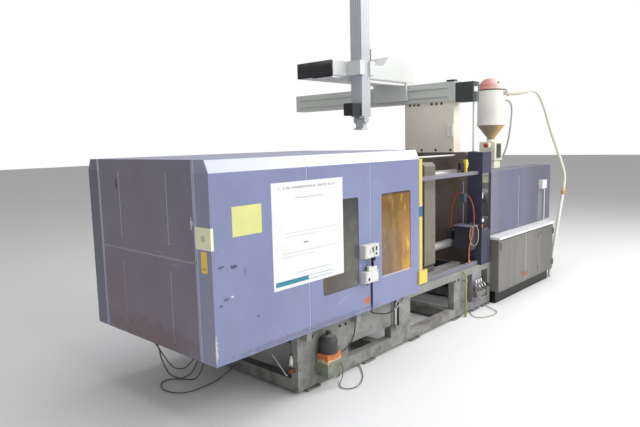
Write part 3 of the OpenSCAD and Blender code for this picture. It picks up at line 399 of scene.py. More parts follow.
def startMaterial(name):
    mat = bpy.data.materials.new(name)
    mat.use_nodes = True
    mat.node_tree.nodes.clear()
    t = Tree(mat.node_tree)
    shader = t.add("ShaderNodeBsdfPrincipled")
    t.put(t.add("ShaderNodeOutputMaterial").inputs[0], shader.outputs[0])
    place = t.add("ShaderNodeTexCoord").outputs["Object"]
    return mat, t, shader, place


def spotMask(t, place, centre, half, ragged, grain):
    # centre and half size in shop millimetres
    return t.group(markGroup, Place=place, Centre=tuple(shop(*centre)), Half=tuple(h / 1000 for h in half),
        Ragged=ragged, Grain=grain).outputs[0]


def addMarks(t, place, colour, rough, marks):
    # each mark: centre, half size, colour, strength, raggedness, grain
    for centre, half, tone, strength, ragged, grain in marks:
        spot = t.times(spotMask(t, place, centre, half, ragged, grain), strength)
        colour = t.cover(colour, tone, spot)
        rough = t.plus(rough, t.times(spot, 0.15))
    return colour, rough


def around(colour, down, up):
    # a darker and a lighter version of one display colour
    base = linear(colour)[:3]
    return tuple(c * down for c in base) + (1,), tuple(min(c * up, 1) for c in base) + (1,)


def paint(name, colour, rough=0.42, vary=0.06, dust=0.35, grime=0.35, grimeTop=-0.7, chips=0.35,
        chipColour=(205, 205, 212), edge=0.0025, peel=0.06, scratch=0.25, marks=(), dustColour=(196, 190, 180),
        grimeColour=(70, 62, 54), metallic=0.0, coat=0.0, tint=None, over=None):
    # tint repaints under dust and scratches, over on top of them
    mat, t, shader, place = startMaterial(name)
    shade = t.mix(t.step(t.noise(place, 1.7, 4.0, 0.6), 0.3, 0.7), *around(colour, 1 - vary, 1 + vary))
    if tint:
        shade = tint(t, place, shade)
    dirt = t.group(dustGroup, Place=place, Dust=dust, Grime=grime, **{"Grime top": grimeTop}).outputs
    wear = t.group(edgeGroup, Place=place, Width=edge, Amount=chips).outputs
    shade = t.layers(shade, (grimeColour, dirt["Grime mask"]), (dustColour, dirt["Dust mask"]),
        (chipColour, t.group(scratchGroup, Place=place, Amount=scratch).outputs[0]))
    if over:
        shade = over(t, place, shade)
    roughness = t.plus(rough, t.times(t.noise(place, 14.0, 4.0, 0.6), 0.12))
    roughness = t.plus(roughness, t.times(dirt["Dust mask"], 0.3), clamp=True)
    shade, roughness = addMarks(t, place, shade, roughness, marks)
    t.fill(shader, {"Base Color": t.cover(shade, chipColour, wear["Mask"], 0.85), "Roughness": roughness,
        "Metallic": metallic, "Coat Weight": coat, "Coat Roughness": 0.12,
        "Normal": t.bump(peel, 0.001, t.noise(place, 330.0, 2.0, 0.5), wear["Normal"])})
    return mat


def metal(name, colour, rough=0.3, stretch=(3.0, 260.0, 260.0), stain=0.25, stainColour=(96, 84, 70), metallic=0.9):
    mat, t, shader, place = startMaterial(name)
    thin = t.group(streakGroup, Place=place, Fine=stretch).outputs["Thin"]
    blot = t.step(t.noise(place, 7.0, 5.0, 0.65), 0.5, 0.75)
    dirt = t.group(dustGroup, Place=place, Dust=0.2, Grime=stain)
    shade = t.cover(t.mix(thin, *around(colour, 0.82, 1.12)), stainColour, blot, stain)
    roughness = t.plus(t.plus(rough, t.times(thin, 0.16)), t.times(blot, 0.2), clamp=True)
    wear = t.group(edgeGroup, Place=place, Width=0.002, Amount=0.1)
    t.fill(shader, {"Base Color": t.cover(shade, (170, 162, 150), dirt.outputs["Dust mask"]), "Roughness": roughness,
        "Metallic": metallic, "Normal": t.bump(0.05, 0.0005, thin, wear.outputs["Normal"])})
    return mat


def plastic(name, colour, rough=0.35, grain=0.1, tint=None):
    return paint(name, colour, rough=rough, vary=0.05, dust=0.2, grime=0.25, chips=0.0, edge=0.0015, peel=grain,
        scratch=0.1, tint=tint)


def byHeight(bands):
    # colours by height in shop millimetres: the last band whose start is below the point wins
    def tint(t, place, shade):
        height = t.axes(place)[2]
        for start, soft, tone in bands:
            shade = t.cover(shade, tone, t.rise(height, start - soft, start + soft))
        return shade
    return tint


def layBox(t, place, shade, low, high, tone, much=1.0, soft=0.002):
    # lays a colour over what lies in a box given in shop millimetres; its border is soft, in metres
    a, b, split, mask = shop(*low), shop(*high), t.axes(place), much
    for k in range(3):
        mask = t.times(mask, t.between(split[k], a[k] - soft, b[k] + soft, 2 * soft))
    return t.cover(shade, tone, mask)


def inBoxes(boxes):
    # repaints boxes: low corner, high corner, colour and, where they differ, amount and softness
    def tint(t, place, shade):
        for box in boxes:
            shade = layBox(t, place, shade, *box)
        return shade
    return tint


def lubeTint(t, place, shade):
    # green tank, orange lid running down it unevenly, dark motor
    height = t.axes(place)[2]
    ragged = t.plus(height, t.times(t.minus(t.noise(place, 34.0, 3.0, 0.6), 0.5), 0.09))
    return t.layers(shade, ((232, 210, 150), t.rise(ragged, 252, 256)), ((222, 126, 62), t.rise(ragged, 266, 272)),
        ((66, 66, 66), t.rise(height, 319, 325)))


def windowMaterial(name, colour, low, high, bright, clear, grimy=(92, 80, 60), shapes=0.0, rim=0.0):
    # coloured plastic pane: mostly tinted, a little see-through, dusty in one corner, with a painted shadow line
    # under its top frame and a painted highlight line above its bottom frame
    mat, t, shader, place = startMaterial(name)
    split = t.axes(place)
    across = t.step(split[0], low / 1000, high / 1000)
    down = t.rise(split[2], 1600, 850)
    shade = t.cover(linear(colour), bright, across, down)
    if shapes:
        # blurred upright shapes of what lies behind the pane
        blur = t.step(t.noise(t.vector('MULTIPLY', place, (9.0, 1.0, 2.2)), 1.0, 3.0, 0.55), 0.47, 0.6)
        gleam = t.step(t.noise(t.vector('MULTIPLY', place, (14.0, 1.0, 3.5)), 1.0, 2.0, 0.5), 0.6, 0.7)
        shade = t.layers(shade, ((104, 78, 30), blur, shapes), ((252, 214, 92), t.times(gleam, across), 0.6))
    corner = t.times(t.minus(1.0, across), down)
    cloud = t.step(t.noise(place, 3.5, 4.0, 0.6), 0.2, 0.6)
    dust, haze = (200, 196, 185), t.step(t.noise(place, 9.0, 5.0, 0.65), 0.45, 0.8)
    # a dark line under the top frame is painted shadow, a pale line above the bottom frame a painted highlight, both
    # as strong as rim
    shade = t.layers(shade, (grimy, t.times(corner, cloud), 0.85), ((66, 62, 66), t.rise(split[2], 1616, 1622), rim),
        ((206, 204, 210), t.rise(split[2], 858, 852), rim), (dust, haze, 0.12),
        (dust, t.group(dustGroup, Place=place, Dust=0.2, Grime=0.2).outputs[0]))
    t.fill(shader, {"Base Color": shade, "Roughness": t.plus(0.14, t.times(haze, 0.2)), "Transmission Weight": clear,
        "IOR": 1.49, "Normal": t.group(edgeGroup, Place=place, Width=0.002, Amount=0.0).outputs[1]})
    return mat


def acrossHopper(t, place):
    # level distance from the hopper's axis, towards the right as seen from the operator's corner
    right = 0.733, -0.680, 0.0
    return t.vector('DOT_PRODUCT', t.vector('SUBTRACT', place, tuple(shop(hopperX, 0, 0))), right, out=1)


def lidTint(t, place, shade):
    # the loader lid is painted pink on its left and fades to white on its right
    blot = t.times(t.minus(t.noise(place, 5.0, 4.0, 0.6), 0.5), 0.3)
    return t.cover(shade, (236, 230, 226), t.step(t.plus(acrossHopper(t, place), blot), -0.12, 0.14))


def coneTint(t, place, shade):
    # amber granules show through the right of the clear cone, the left stays dark
    amber = t.mix(t.step(acrossHopper(t, place), -0.06, 0.1), linear((158, 148, 126)), linear((222, 184, 100)))
    return t.mix(t.rise(t.axes(place)[2], 2322, 2316), shade, amber)


def cabinetTint(t, place, shade):
    # wiped streaks down the bare cabinet sheet, two pale seams and a painted highlight down the rounded left corner,
    # painted shade darkening it to the right, and the lid painted white as painted light on its top
    streak = t.group(streakGroup, Place=place, Stretch=(26.0, 26.0, 0.5), Fine=(180.0, 180.0, 2.0)).outputs
    shade = t.layers(shade, ((146, 145, 142), streak["Wide"], 0.3), ((84, 81, 77), streak["Thin"], 0.25))
    # two pale seams; the line at x = 305 is a painted highlight down the rounded left corner
    for x, tone, much in ((1120, (176, 176, 174), 0.6), (1578, (206, 206, 204), 0.8), (305, (160, 160, 158), 0.6)):
        shade = layBox(t, place, shade, (x - 12, -890, 160), (x + 12, -840, 826), tone, much, 0.006)
    split = t.axes(place)
    # painted shade to the right, and painted light that makes the lid white on top
    return t.layers(shade, ((88, 86, 82), t.step(split[0], 1.2, 1.9), 0.6),
        ((240, 242, 244), t.rise(split[2], 838, 842)))


def plinthShadow(t, place, shade):
    # the recessed plinth under the cabinets is painted black as the shadow beneath them
    return t.cover(shade, (8, 8, 9), t.rise(t.axes(place)[2], 152, 148))


def endTint(t, place, shade):
    # pale strips beside the panel edges and along the ribs, painted highlights where they catch the light, a pale
    # line at the joint, and a brown cast low on the right
    strips = [((-4180, y - 14, 575), (-4150, y + 14, 2026), (196, 198, 232), 0.8, 0.003) for y in (-682, 682)]
    strips += [((-4180, y - 6, low), (-4150, y + 6, high), (186, 184, 204), 0.75, 0.004)
        for y in (-345, 345) for low, high in ((640, 1200), (1390, 1930))]
    strips.append(((-4180, -660, 1291), (-4150, 660, 1301), (226, 214, 222), 0.85, 0.004))
    shade = inBoxes(strips)(t, place, shade)
    low = t.step(t.axes(place)[2], 0.35, -0.35)
    cloud = t.step(t.noise(place, 1.4, 4.0, 0.6), 0.25, 0.7)
    return t.cover(shade, (132, 112, 112), t.times(low, cloud), 0.55)


def coverTint(t, place, shade):
    # wide soft bands along the panels, a top slope painted paler as painted light from above, pale seams, a greyer
    # near flange and a darker far flange, and pale strips along the flange edges as painted highlights
    streak = t.group(streakGroup, Place=place, Stretch=(9.0, 9.0, 0.6)).outputs
    shade = t.cover(shade, (120, 122, 176), streak["Wide"], 0.16)
    split = t.axes(place)
    # painted light from above: the top slope is painted paler
    slope = t.times(t.rise(split[2], 1936, 1940), t.step(split[0], -1.5, -1.6))
    shade = t.cover(shade, (226, 232, 248), slope, t.minus(0.8, t.times(t.rise(split[2], 2024, 2030), 0.6)))
    boxes = [((x - 12, -870, 575), (x - 3, -800, 2030), (196, 202, 238), 0.6) for x in (-3197, -2368)]
    boxes += [((-4190, y - 175, 560), (-4164, y, 2040), tone, much)
        for y, tone, much in ((-700, (146, 147, 172), 0.85), (875, (104, 101, 115), 0.9))]
    # pale strips along the flange edges are painted highlights
    boxes += [((-4190, y, 560), (-4150, y + 14, 2032), (196, 198, 232), 0.8) for y in (-700, 686)]
    return inBoxes(boxes)(t, place, shade)


def injectionTint(t, place, shade):
    # greyer at the left end, painted darker towards the right end as painted shade where the light falls off, soft
    # upright bands that are painted reflections, one pale seam and the pale switch box
    streak = t.group(streakGroup, Place=place, Stretch=(7.0, 7.0, 0.4), Fine=(60.0, 60.0, 1.0)).outputs
    x = t.axes(place)[0]
    # painted shade darkens the right end; the upright streak bands are painted reflections
    shade = t.layers(shade, ((138, 136, 144), t.step(x, 0.75, 0.42), 0.7),
        ((92, 90, 104), t.step(x, 1.35, 1.75), 0.75), ((128, 128, 142), streak["Wide"], 0.3),
        ((84, 84, 98), streak["Thin"], 0.18))
    return inBoxes([((1238, -720, 860), (1250, -660, 1600), (190, 192, 216), 0.7, 0.004),
        ((1925, -760, 866), (2112, -691, 1500), (224, 224, 222))])(t, place, shade)


def armTint(t, place, shade):
    # grooved aluminium profile: dark lines down both sides as painted shade in its grooves, and the black wrist motor
    split = t.axes(place)
    radiansPerMetre = 196.0
    wave = t.math('SINE', t.times(t.plus(split[0], split[1]), radiansPerMetre))
    # the dark groove lines are painted shade
    groove = t.times(t.step(wave, 0.55, 0.9), t.step(split[2], 1.15, 1.16))
    shade = t.cover(shade, (110, 114, 120), groove, 0.4)
    return layBox(t, place, shade, (-1410, 120, 2410), (-1241, 270, 2570), (38, 38, 42))


# stains and chips on the covers, the last one on the cabinet; the values are those of addMarks
coverMarks = [((-4170, 390, 1836), (30, 16, 60), (120, 56, 48), 0.8, 0.5, 30.0),
    ((-4168, -640, 1577), (20, 16, 45), (226, 222, 220), 0.9, 0.6, 60.0),
    ((-4170, -812, 890), (20, 14, 26), (205, 150, 150), 0.8, 0.5, 60.0),
    ((-2440, -860, 672), (48, 14, 44), (196, 108, 52), 0.85, 0.45, 40.0),
    ((-3880, -860, 1212), (12, 12, 34), (104, 102, 132), 0.5, 0.5, 40.0),
    ((-3766, -860, 850), (10, 10, 10), (50, 48, 56), 0.9, 0.1, 30.0),
    ((-4096, -860, 1276), (30, 10, 12), (62, 60, 84), 0.8, 0.9, 70.0),
    ((-3978, -860, 1268), (34, 10, 14), (58, 56, 78), 0.9, 0.9, 60.0),
    ((-4058, -860, 1040), (26, 10, 12), (66, 64, 92), 0.7, 0.9, 70.0),
    ((-4004, -860, 1048), (14, 10, 9), (228, 228, 232), 0.8, 0.6, 60.0),
    ((-4108, -860, 1000), (16, 10, 12), (70, 68, 96), 0.7, 0.9, 70.0),
    ((-4168, -862, 690), (16, 10, 120), (222, 214, 208), 0.85, 0.7, 45.0),
    ((-4170, 0, 640), (20, 620, 130), (112, 92, 76), 0.35, 0.6, 6.0),
    ((-3200, -860, 600), (900, 12, 26), (104, 96, 104), 0.45, 0.6, 8.0),
    ((1048, -866, 260), (120, 20, 44), (150, 96, 66), 0.8, 0.6, 26.0)]

panelWear = {"grime": 0.3, "grimeTop": -0.5, "chips": 0.4, "edge": 0.006, "peel": 0.05, "marks": coverMarks}
robotWear = {"rough": 0.36, "grime": 0.1, "chipColour": (150, 148, 146)}
darkWear = {"rough": 0.45, "vary": 0.12, "chips": 0.5, "chipColour": (130, 132, 140)}
railScrews = [((-1520 + 134 * k, -685, 610), (10, 9, 4), (52, 50, 54), 0.9, 0.1, 30.0) for k in range(9)]

coverPaint = paint("coverBlue", (134, 141, 177), rough=0.36, vary=0.07, dust=0.3, chipColour=(222, 224, 236),
    scratch=0.35, coat=0.2, tint=coverTint, **panelWear)
# the end panels get a darker, greyer copy of the cover paint: painted shade for the shaded end of the machine
endPaint = paint("endPanelPaint", (128, 123, 142), rough=0.4, vary=0.08, dust=0.2, chipColour=(214, 210, 222),
    scratch=0.4, tint=endTint, **panelWear)
# the injection covers get a darker copy of the cover paint: painted shade where the light falls off towards them
injectionPaint = paint("injectionCoverBlue", (104, 107, 132), rough=0.4, vary=0.08, dust=0.25, grime=0.2, chips=0.5,
    chipColour=(206, 206, 216), edge=0.005, peel=0.05, scratch=0.3, tint=injectionTint)
railPaint = paint("railPaint", (128, 128, 142), vary=0.1, dust=0.5, grime=0.3, chips=0.5, chipColour=(186, 172, 168),
    dustColour=(186, 166, 160), marks=railScrews,
    tint=inBoxes([((-330, -712, 1732), (-252, -660, 1900), (228, 208, 60)),
        ((-262, -712, 1800), (-200, -660, 1860), (232, 232, 228))]))
fixedPlatenPaint = paint("fixedPlatenPaint", (112, 102, 94), rough=0.5, vary=0.25, dust=0.5, grime=0.5, grimeTop=0.4,
    chips=0.5, chipColour=(140, 128, 116), grimeColour=(84, 66, 52))
gateEdgePaint = paint("gateEdgeYellow", (226, 208, 96), rough=0.5, chips=0.5, chipColour=(180, 176, 168))
# the dark box inside the bed frame is painted shade in its hollow
greyPaint = paint("machineGrey", (152, 153, 150), rough=0.5, vary=0.1, grime=0.6, grimeTop=-0.4, chips=0.5,
    chipColour=(180, 178, 172), edge=0.004, over=inBoxes([((-3255, -668, 245), (2600, 668, 548), (44, 50, 56))]))
darkPaint = paint("darkBlueGrey", (62, 64, 82), **darkWear)
manifoldPaint = paint("manifoldDark", (58, 60, 72), **darkWear,
    tint=byHeight([(1048, 1, (116, 117, 142)), (1348, 2, (70, 92, 104)), (1462, 2, (122, 124, 148))]))
smokedPane = windowMaterial("smokedPane", (74, 74, 72), -3040, -2560, (104, 102, 94), 0.12)
amberPane = windowMaterial("amberPane", (140, 104, 40), -2205, -1740, (212, 150, 30), 0.08, grimy=(104, 96, 84),
    shapes=0.6, rim=0.8)
yellowPaint = paint("yellowPaint", (228, 206, 70), rough=0.45, chips=0.5, chipColour=(150, 146, 140))
cabinetPaint = paint("cabinetGrey", (122, 120, 113), rough=0.38, vary=0.05, grime=0.4, grimeTop=-0.95, chips=0.4,
    chipColour=(140, 120, 100), edge=0.006, tint=cabinetTint, over=plinthShadow, marks=coverMarks[-1:], metallic=0.1)
lubePaint = paint("lubeParts", (140, 148, 130), rough=0.5, vary=0.2, grime=0.6, chips=0.3, tint=lubeTint)
oilGreen = paint("oilTankGreen", (92, 108, 120), rough=0.5, vary=0.1, grime=0.6)
hopperWhite = paint("hopperWhite", (238, 235, 227), rough=0.4, dust=0.3, grime=0.1, chips=0.3,
    chipColour=(120, 112, 104), tint=coneTint)
sightPaint = paint("sightBoxWhite", (246, 243, 224), rough=0.4, chips=0.4, chipColour=(130, 124, 116))
lidPaint = paint("loaderLidPink", (206, 138, 130), vary=0.05, tint=lidTint, chips=0.3)
robotWhite = paint("robotWhite", (218, 220, 218), vary=0.04, chips=0.25, **robotWear,
    tint=inBoxes([((-1560, 280, 2860), (-1536, 860, 3060), (40, 40, 44)),
        ((-1085, 140, 3050), (-975, 250, 3200), (38, 38, 42)),
        ((-1105, 310, 2830), (-60, 450, 2869), (236, 236, 234))]))
robotGrey = paint("robotBeamGrey", (206, 210, 204), vary=0.05, chips=0.25, **robotWear,
    tint=inBoxes([((-15, -640, 2575), (90, -391, 2825), (64, 68, 66)),
        ((90, -640, 2575), (160, -391, 2825), (92, 112, 100)),
        ((50, -620, 1960), (90, -580, 2579), (214, 214, 210)), ((28, -650, 1960), (112, -550, 1970), (60, 62, 70))]))
armPaint = paint("armProfile", (196, 200, 204), chips=0.2, **robotWear, tint=armTint)
greenPaint = paint("robotGreen", (150, 172, 158), rough=0.4, vary=0.05, chips=0.3)
riserPaint = paint("riserPaint", (242, 236, 220), dust=0.3, grime=0.1, chips=0.3, chipColour=(150, 142, 130),
    tint=inBoxes([((-20, -370, 2150), (-1, -270, 2330), (236, 236, 232))]))
coverScrewPaint = paint("coverScrewPaint", (150, 156, 196), rough=0.4, chips=0.6, chipColour=(120, 112, 104),
    edge=0.001)

brightSteel = metal("turnedSteel", (214, 214, 214), metallic=0.6)
platenIron = metal("groundIron", (150, 142, 132), rough=0.42, stretch=(200.0, 200.0, 4.0), stain=0.4, metallic=0.7)
darkBolt = metal("blackenedSteel", (78, 76, 78), rough=0.4, stain=0.4, metallic=0.8)
zincBolt = metal("zincSteel", (190, 188, 180), rough=0.32, stain=0.3)
chrome = metal("chromedFitting", (206, 206, 204), rough=0.22, stain=0.2)
brass = metal("brassFitting", (188, 156, 84), stain=0.3)
rustySteel = metal("rustySteel", (128, 82, 58), rough=0.65, stain=0.7, stainColour=(84, 50, 36), metallic=0.3)

whitePlastic, blackPlastic, greyPlastic, blueTape, couplingPaint = (plastic(*given) for given in (
    ("whitePlastic", (226, 226, 222), 0.4), ("blackPlastic", (34, 34, 38), 0.45),
    ("greyPlastic", (164, 164, 162), 0.4), ("blueTape", (62, 118, 148), 0.4),
    ("couplingYellow", (204, 176, 112), 0.5)))
redRubber, beigeRubber, greyCable, wireSheath, orangeRubber, paleRubber = (plastic(*given, 0.5, 0.2) for given in (
    ("redRubber", (176, 74, 58)), ("beigeRubber", (226, 222, 206)), ("greyCable", (92, 88, 82)),
    ("wireSheath", (134, 126, 112)), ("orangeRubber", (214, 124, 84)), ("paleRubber", (222, 200, 160))))
blackRubber = plastic("blackRubber", (30, 30, 32), 0.55, 0.2)
drainTube = plastic("drainTube", (150, 154, 96), 0.4, tint=byHeight([(330, 120, (176, 172, 120))]))

slotMaterial = {"cover_blue": coverPaint, "machine_grey": greyPaint, "dark_steel": darkPaint,
    "bright_steel": brightSteel, "platen_iron": platenIron, "smoked_plastic": smokedPane, "amber_plastic": amberPane,
    "yellow_paint": yellowPaint, "white_plastic": whitePlastic, "cabinet_grey": cabinetPaint, "lube_parts": lubePaint,
    "oil_green": oilGreen, "red_rubber": redRubber, "beige_rubber": beigeRubber, "black_plastic": blackPlastic,
    "hopper_white": hopperWhite, "hopper_pink": lidPaint, "robot_white": robotWhite, "robot_green": greenPaint}
nodeMaterial = {"gate_edge": gateEdgePaint, "end_panel_upper": endPaint, "end_panel_lower": endPaint,
    "gate_rails": railPaint, "injection_front_cover": injectionPaint, "injection_rear_cover": injectionPaint,
    "fixed_platen": fixedPlatenPaint, "hose_manifold": manifoldPaint, "sight_box": sightPaint,
    "throat_block": sightPaint, "robot_arm": armPaint, "robot_beam": robotGrey, "robot_riser": riserPaint}

# the slot that each material's pieces go to
slotOf = {mat.name: slot for slot, mat in slotMaterial.items()}
for slot, names in {"black_plastic": ("blackRubber", "greyCable", "wireSheath"), "machine_grey": ("greyPlastic",),
        "bright_steel": ("coverScrewPaint", "blackenedSteel", "zincSteel", "chromedFitting", "brassFitting"),
        "red_rubber": ("orangeRubber",), "beige_rubber": ("paleRubber", "couplingYellow"),
        "lube_parts": ("rustySteel",), "oil_green": ("blueTape", "drainTube"), "white_plastic": ("posterPaper",),
        "yellow_paint": ("yellowPaper", "cornerLabel", "yellowSticker")}.items():
    slotOf.update({name: slot for name in names})

for part in frame["record"]["subparts"]:
    mat = nodeMaterial.get(part["node"], slotMaterial[part["material_slot"]])
    for s in nodes[part["node"]].material_slots:
        s.material = mat
print("materials set")


# Cords

waterHose = tubePiece("waterHose", smoothCurve(hoseRoute, hoseSet["steps"]), hoseSet["radius"], hoseSet["sides"],
    redRubber)
finishPiece(waterHose, hides=["water_hose"])
pathLength(smoothCurve(hoseRoute, hoseSet["steps"]))
smoothCurve(hoseRoute, 3)

hoseWay = smoothCurve(loaderRoute, loaderHoseSet["steps"])
materialHose = tubePiece("materialHose", hoseWay, loaderHoseSet["radius"], loaderHoseSet["sides"], beigeRubber)


def makeLance(s):
    # white feed lance: a plain tube round the last straight of the hose, with a yellowish coupling at its top
    straight = hoseWay[s["lanceStart"] * s["steps"]:]
    top = straight[0]
    along = (straight[1] - top).normalized()
    ends = [top + along * s["couplingStart"], top + along * s["couplingEnd"]]
    return (tubePiece("suctionLance", straight, s["lanceRadius"], s["lanceSides"], whitePlastic),
        tubePiece("lanceCoupling", ends, s["couplingRadius"], s["lanceSides"], couplingPaint))


lance, lanceCoupling = makeLance(loaderHoseSet)
finishPiece(materialHose, "carriage", ["material_hose"])
finishPiece(lance, "carriage", ["material_hose"])
finishPiece(lanceCoupling, "carriage")
print("cords made")


# Bolt heads and screws, set out with one Geometry Nodes tree

boltSet = {"lift": 0.55, "washerSides": 18, "washerHeight": 0.3, "fullTurn": 6.28, "seed": 7}


def boltTree(s):
    # a head on a flat washer at each point, turned by chance about its own axis
    tree, t, i, o = newSockets(bpy.data.node_groups.new("boltHeads", "GeometryNodeTree"),
        [("Points", 'NodeSocketGeometry', None), ("Head radius", numberSocket, 0.008),
        ("Head height", numberSocket, 0.005), ("Head sides", 'NodeSocketInt', 6), ("Washer", numberSocket, 1.35),
        ("Seed", 'NodeSocketInt', s["seed"]), ("Material", 'NodeSocketMaterial', None)],
        [("Heads", 'NodeSocketGeometry')])
    head = t.add("GeometryNodeMeshCylinder", {"Vertices": i["Head sides"], "Radius": i["Head radius"],
        "Depth": i["Head height"]})
    up = t.add("ShaderNodeCombineXYZ", {"Z": t.times(i["Head height"], s["lift"])})
    lift = t.add("GeometryNodeTransform", {"Geometry": head.outputs["Mesh"], "Translation": up.outputs[0]})
    washer = t.add("GeometryNodeMeshCylinder", {"Vertices": s["washerSides"],
        "Radius": t.times(i["Head radius"], i["Washer"]), "Depth": t.times(i["Head height"], s["washerHeight"])})
    both = t.add("GeometryNodeJoinGeometry")
    for part in (lift, washer):
        t.put(both.inputs[0], part.outputs[0])
    facing = t.add("GeometryNodeInputNamedAttribute", {"Name": "facing"}, data_type='FLOAT_VECTOR')
    aim = t.add("FunctionNodeAlignRotationToVector", {"Vector": facing.outputs[0]}, axis='Z')
    angle = t.add("FunctionNodeRandomValue", {3: s["fullTurn"], "Seed": i["Seed"]}, data_type='FLOAT')
    spin = t.add("FunctionNodeAxisAngleToRotation", {"Axis": (0, 0, 1), "Angle": angle.outputs[1]})
    turn = t.add("FunctionNodeRotateRotation", {0: aim.outputs[0], 1: spin.outputs[0]}, rotation_space='LOCAL')
    place = t.add("GeometryNodeInstanceOnPoints", {"Points": i["Points"], "Instance": both.outputs[0],
        "Rotation": turn.outputs[0]})
    real = t.add("GeometryNodeRealizeInstances", {0: place.outputs[0]})
    dress = t.add("GeometryNodeSetMaterial", {"Geometry": real.outputs[0], "Material": i["Material"]})
    t.put(o["Heads"], dress.outputs[0])
    return tree


boltNodes = boltTree(boltSet)


def row(start, end, count, facing):
    # evenly spaced places, in shop millimetres, all facing one way
    out = []
    for k in range(count):
        f = k / max(count - 1, 1)
        out.append(([a + (b - a) * f for a, b in zip(start, end)], facing))
    return out


def bolts(name, material, spots, radius=0.008, height=0.005, sides=6, washer=1.35, body="machine"):
    # spots: pairs of a place in shop millimetres and the way that the head faces
    mesh = bpy.data.meshes.new(name + "Points")
    mesh.from_pydata([shop(*place) for place, facing in spots], [], [])
    attribute = mesh.attributes.new("facing", 'FLOAT_VECTOR', 'POINT')
    for k, (place, facing) in enumerate(spots):
        attribute.data[k].vector = facing
    source = linked(name + "Points", mesh)
    modifier = source.modifiers.new("bolts", 'NODES')
    modifier.node_group = boltNodes
    values = {"Head radius": radius, "Head height": height, "Head sides": sides, "Washer": washer,
        "Seed": boltSet["seed"], "Material": material}
    for item in boltNodes.interface.items_tree:
        if item.in_out == 'INPUT' and item.name in values:
            modifier[item.identifier] = values[item.name]
    made = bpy.data.meshes.new_from_object(source.evaluated_get(bpy.context.evaluated_depsgraph_get()))
    made.name = name
    bpy.data.objects.remove(source)
    finishPiece(linked(name, made), body)


left, up, back, front = (-1, 0, 0), (0, 0, 1), (0, 1, 0), (0, -1, 0)
screwSize = {"radius": 0.0065, "height": 0.003, "sides": 16, "washer": 1.2}

coverSpots = []
for x in (-4130, -3225, -3170, -2395, -2340, -1600):
    for y, facing in ((-860, front), (860, back)):
        coverSpots += row((x, y, 610), (x, y, 1900), 2, facing)
bolts("coverScrews", coverScrewPaint, coverSpots, **screwSize)

# the first row sits on the upper rail of the bed, the rest at the feet and cross beams
bedSpots = row((-300, -685, 610), (-40, -685, 610), 3, up)
for x in (-3150, -2700, -1800, -620):
    for y, facing in ((-740, front), (740, back)):
        bedSpots += row((x, y, 470), (x + 80, y, 470), 2, facing)
for x in (-3065, -2265, -1460, -565, -95, 170):
    for y in (-725, 725):
        bedSpots.append(([x + 45, y, 15], up))
bolts("bedBolts", darkBolt, bedSpots, radius=0.011, height=0.009)

riserSpots = row((0, -190, 2577), (0, -48, 2577), 3, left) + row((0, 154, 2577), (0, 283, 2577), 3, left)
riserSpots += row((0, -320, 1990), (0, 320, 1990), 4, left)
bolts("riserBolts", darkBolt, riserSpots, radius=0.012, height=0.01)

# two loops, because the order of the spots decides how each head is turned
cabinetSpots = []
for z in (900, 1670):
    cabinetSpots += row((420, -690, z), (1200, -690, z), 4, front) + row((1330, -690, z), (2060, -690, z), 3, front)
for z in (900, 1670):
    cabinetSpots += row((420, 690, z), (2060, 690, z), 7, back)
bolts("injectionCoverScrews", coverScrewPaint, cabinetSpots, **screwSize)

armSpots = [spot for z in (2470, 3900) for spot in row((-1240, 135, z), (-1240, 255, z), 2, left)]
bolts("armBolts", darkBolt, armSpots, radius=0.009, height=0.006, body="arm")
print("bolts made")


# Builders of plain pieces; places and sizes in shop millimetres, tube radii in metres

def joinBoxes(name, material, boxes, bevel=0.0015, rods=(), body="machine"):
    # several blocks and rods as one piece
    rodSides = 16
    bm = bmesh.new()
    for low, high in boxes:
        part = bmesh.new()
        boxMesh(part, low, high)
        if bevel:
            bevelAll(part, bevel)
        temp = bpy.data.meshes.new("part")
        part.to_mesh(temp)
        part.free()
        bm.from_mesh(temp)
        bpy.data.meshes.remove(temp)
    for start, end, radius in rods:
        tubeMesh(bm, [shop(*start), shop(*end)], radius / 1000, rodSides)
    bmesh.ops.recalc_face_normals(bm, faces=bm.faces)
    finishPiece(meshObject(name, bm, material), body)


def slab(name, material, low, high, bevel, body="machine"):
    joinBoxes(name, material, [(low, high)], bevel, body=body)


def cordPiece(name, points, radius, material, body="machine"):
    steps, sides = 6, 10
    path = smoothCurve([shop(*p) for p in points], steps)
    ob = finishPiece(tubePiece(name, path, radius, sides, material), body)


def pipe(name, points, radius, material):
    # rigid pipe or rod along a smooth line
    steps, sides = 5, 14
    finishPiece(tubePiece(name, smoothCurve([shop(*p) for p in points], steps), radius, sides, material))


def turned(name, material, axis, profile, sides=28, body="machine"):
    bm = bmesh.new()
    rings(bm, axis, profile, sides)
    finishPiece(meshObject(name, bm, material), body)


# Papers and labels: thin sheets stuck on the covers, with faint lines only

